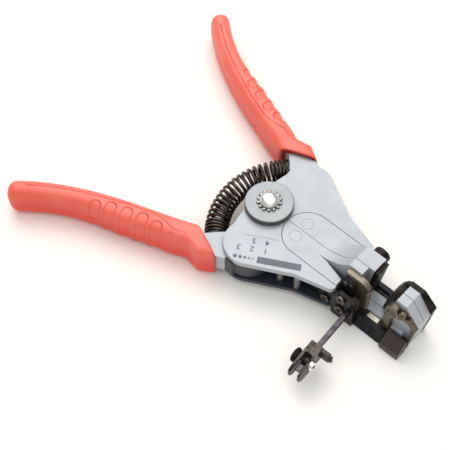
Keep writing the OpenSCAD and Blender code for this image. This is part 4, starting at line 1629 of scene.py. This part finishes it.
@dataclass
class LengthStop:
    """The gauge rod with its block, and the stop that is clamped on it.

    Attributes:
        foot: Start of the rod.
        tilt: Turn of the rod from -Y in degrees.
        rod_r: Radius of the rod.
        screw_at: Place of the thumb screw's axis along the rod, and its height above the rod.
        knurls: Number of ridges on the thumb screw.
    """

    foot: Triple = (52.305, -10.38, 10.28)
    tilt: float = 3.2
    rod_r: float = 1.2
    screw_at: Pair = (30.9, 2.22)
    knurls: int = 24

    def _on_rod(self) -> Matrix:
        """The matrix of the rod's own frame: X across, -Y along, Z up."""
        turn = Matrix.Rotation(math.radians(self.tilt), 4, "Z")
        return Matrix.Translation(Vector(self.foot) * MM) @ turn

    def _thumb_screw(self, kit: Workshop) -> None:
        """Builds the knurled thumb screw, lathe-turned along its axis.

        Args:
            kit: The workshop.
        """
        half_w, gap = self.rod_r * 2.25, 0.1
        head_r, head_h = self.rod_r * 2.6, self.rod_r * 1.7
        far = -half_w - gap - head_h
        near = -half_w - gap
        r = self.rod_r * 0.55
        end = half_w + self.rod_r * 1.6
        outline = [
            (AXIS_R, far + 0.3), (head_r * 0.4, far + 0.3), (head_r * 0.5, far),
            (head_r * 0.82, far), (head_r * 0.92, far + 0.25), (head_r * 0.92, near - 0.5),
            (head_r * 0.86, near - 0.4), (head_r * 0.86, near - 0.25), (head_r * 0.6, near - 0.12),
            (head_r * 0.55, near), (r, near), (r, half_w + self.rod_r * 1.5), (r * 0.8, end),
            (AXIS_R, end),
        ]
        core = settle(turned("thumb_screw_core", outline, 48), 28.0)
        ridge = turned(
            "thumb_screw_knurl",
            [
                (AXIS_R, 0.0), (0.18, 0.0), (0.25, 0.12), (0.25, 1.22), (0.18, 1.34),
                (AXIS_R, 1.34),
            ],
            8,
        )
        knurl = kit.ring.run(
            ridge, kit.shop.material(Coat.OXIDE),
            {
                "Count": self.knurls, "Ring Radius": head_r * 0.915 * MM,
                "Height": (far + 0.3) * MM,
            },
            50.0,
        )
        screw = joined("stop_thumb_screw", [core, knurl])
        along, above = self.screw_at
        axis = Matrix.Translation(Vector((0, -along, above)) * MM)
        moved(screw, self._on_rod() @ (axis @ Matrix.Rotation(math.radians(90), 4, "Y")))
        kit.place(screw, "stop_screw", Coat.OXIDE, "stop_screw")

    def build(self, kit: Workshop) -> None:
        """Builds the length stop.

        Args:
            kit: The workshop.
        """
        kit.ease(
            "left_frame",
            ("rod_block", Coat.OXIDE, 0.25), ("socket_screws", Coat.SCREW, 0.12),
            ("gauge_rod", Coat.ROD, 0.12),
        )
        kit.ease("stop", ("length_stop", Coat.STOP, 0.22), ("stop_nut", Coat.CHROME, 0.15))
        self._thumb_screw(kit)


@dataclass
class ReturnSpring:
    """The bent coil spring between the two handles, in three lengths.

    Attributes:
        bend: Radius of the spring's bend.
        centre_x: Centre of the bend.
        seat: Half of the bend's angle in degrees.
        coil: Radius of the coil's centre line.
        wire: Diameter of the wire.
        level: Height of the coil's middle.
        turns: Number of turns.
        end_turns: Number of close turns at each end.
        end_pitch: Pitch of the close turns.
        cuts: Shares of the length where one piece ends and the next begins.
        per_turn: Points of the wire's route in one turn.
        margin: Distance from a piece's end to where its bending would start; not used.
        gap: Distance between the seat and the wire.
        wire_sides: Sides of the wire.
    """

    bend: float = 31.0
    centre_x: float = 13.1
    seat: float = 46.5
    coil: float = 4.375
    wire: float = 1.3
    level: float = 10.15
    turns: int = 24
    end_turns: float = 4.0
    end_pitch: float = 1.5
    cuts: Pair = (0.3, 0.7)
    per_turn: int = 26
    margin: float = 1.3
    gap: float = 0.1
    wire_sides: int = 14

    @property
    def arc(self) -> float:
        """Length of the bend."""
        return self.bend * 2 * math.radians(self.seat)

    def _point(self, run: float, phase: float = 0.0, radius: float = 0.0) -> np.ndarray:
        """Finds a point on or round the bend's line.

        Args:
            run: Distance along the bend.
            phase: Angle round its line.
            radius: Distance from its line.

        Returns:
            X, Y and Z.
        """
        a = math.radians(180 - self.seat) + run / self.bend
        out = self.bend + radius * math.cos(phase)
        up = self.level + radius * math.sin(phase)
        return np.array([self.centre_x + out * math.cos(a), out * math.sin(a), up])

    def _steps(self) -> list[Pair]:
        """Works out the wire's route.

        Returns:
            Distance along the bend and phase of each of its points.
        """
        first = self.gap + self.wire / 2
        count = self.turns * self.per_turn
        close = self.end_turns * self.end_pitch
        marks = [0.0, self.end_turns / self.turns, 1 - self.end_turns / self.turns, 1.0]
        runs = [first, first + close, self.arc - first - close, self.arc - first]
        return [
            (float(np.interp(i / count, marks, runs)), self.turns * 2 * math.pi * i / count)
            for i in range(count + 1)
        ]

    def build(self, kit: Workshop) -> None:
        """Builds the three pieces of the spring.

        Args:
            kit: The workshop.
        """
        steps = self._steps()
        ends = [0.0, *(c * self.arc for c in self.cuts), self.arc]
        bodies = ["right_handle", "right_frame", "left_frame", "left_handle"]
        for letter, pair, low, high in zip("abc", zip(bodies, bodies[1:]), ends, ends[1:]):
            keep = [i for i, (run, _) in enumerate(steps) if low <= run <= high]
            chosen = steps[max(keep[0] - 1, 0): keep[-1] + 1]
            curve = bpy.data.curves.new("spring_route", "CURVE")
            curve.dimensions = "3D"
            line = curve.splines.new("POLY")
            line.points.add(len(chosen) - 1)
            for target, (run, phase) in zip(line.points, chosen):
                target.co = (*(self._point(run, phase, self.coil) * MM), 1.0)
            piece = kit.wire.run(
                link(f"return_spring_{letter}", curve), kit.shop.material(Coat.WIRE),
                {"Wire Radius": self.wire / 2 * MM, "Sides": self.wire_sides}, 60.0,
            )
            kit.shop.dress(piece, Coat.WIRE)
            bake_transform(piece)
            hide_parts("return_spring")
            LOG.info("%s bends from %s to %s", piece.name, *pair)


@dataclass
class Studio:
    """Pale floor, soft light and the camera.

    Attributes:
        eye: The camera's place.
        target: The point that it looks at.
        lens: Its focal length on a sensor 36 mm wide.
        floor_size: Width of the floor in metres.
        lamps: Name, place, width in metres, power in watts and colour of each lamp.
    """

    eye: Triple = (166.4, -208.8, 422.6)
    target: Triple = (-10.05, -15.47, 10.0)
    lens: float = 96.0
    floor_size: float = 3.0
    lamps: tuple[tuple[str, Triple, float, float, Triple], ...] = (
        ("key", (-420, 260, 620), 0.8, 3.0, (1.0, 0.99, 0.97)),
        ("fill", (480, -420, 520), 0.8, 0.6, (0.97, 0.98, 1.0)),
        ("top", (20, 60, 800), 1.3, 4.2, (1.0, 1.0, 1.0)),
    )

    def _camera(self) -> None:
        """Sets the camera where the photograph was taken from."""
        data = bpy.data.cameras.new("camera")
        data.lens = self.lens
        data.sensor_width = 36.0
        data.clip_start, data.clip_end = 0.01, 20.0
        camera = link("camera", data)
        away = Vector(self.eye) - Vector(self.target)
        camera.location = Vector(self.eye) * MM
        camera.rotation_mode = "QUATERNION"
        camera.rotation_quaternion = away.to_track_quat("Z", "Y")
        bpy.context.scene.camera = camera

    def _floor(self) -> None:
        """Lays the pale floor."""
        half = self.floor_size / 2 / MM
        corners = np.array([(-half, -half, 0), (half, -half, 0), (half, half, 0), (-half, half, 0)])
        floor = mesh_of("floor", corners, [[0, 1, 2, 3]])
        bench = NodeBench("pale_paper")
        tints = [(0.3, (0.95, 0.93, 0.875)), (0.7, (0.96, 0.945, 0.9))]
        bench.join(bench.ramp(bench.noise(60.0, 2.0), tints), "Base Color")
        bench.shader.inputs["Roughness"].default_value = 0.85
        floor.data.materials.append(bench.material)

    def _lamp(self, name: str, place: Triple, size: float, power: float, colour: Triple) -> None:
        """Hangs a soft round lamp that faces the tool.

        Args:
            name: The lamp's name.
            place: Where it hangs, in millimetres.
            size: Its width in metres.
            power: Its power in watts.
            colour: Its colour.
        """
        data = bpy.data.lights.new(name, "AREA")
        data.shape = "DISK"
        data.size = size
        data.energy = power
        data.color = colour
        lamp = link(name, data)
        lamp.location = Vector(place) * MM
        lamp.rotation_mode = "QUATERNION"
        lamp.rotation_quaternion = Vector(place).to_track_quat("Z", "Y")

    def build(self) -> None:
        """Sets the scene round the tool."""
        self._camera()
        self._floor()
        for lamp in self.lamps:
            self._lamp(*lamp)
        world = bpy.data.worlds.new("studio")
        world.use_nodes = True
        back = world.node_tree.nodes["Background"]
        back.inputs["Color"].default_value = (1.0, 0.99, 0.975, 1.0)
        back.inputs["Strength"].default_value = 0.5
        bpy.context.scene.world = world
        bpy.context.scene.view_settings.view_transform = "Standard"
        LOG.info("studio: camera, floor and %d lamps", len(self.lamps))


def main() -> None:
    """Builds the tool's looks round the frame."""
    logging.basicConfig(level=logging.INFO, format="%(message)s")
    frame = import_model()
    kit = Workshop(frame)
    for assembly in (
        FrameHalves(), MainPivot(), SqueezeHandle(Side.LEFT), SqueezeHandle(Side.RIGHT),
        JawSlides(), FrontJaws(), LengthStop(), ReturnSpring(),
    ):
        LOG.info("%s:", type(assembly).__name__)
        assembly.build(kit)
    Studio().build()


if __name__ == "__main__":
    main()
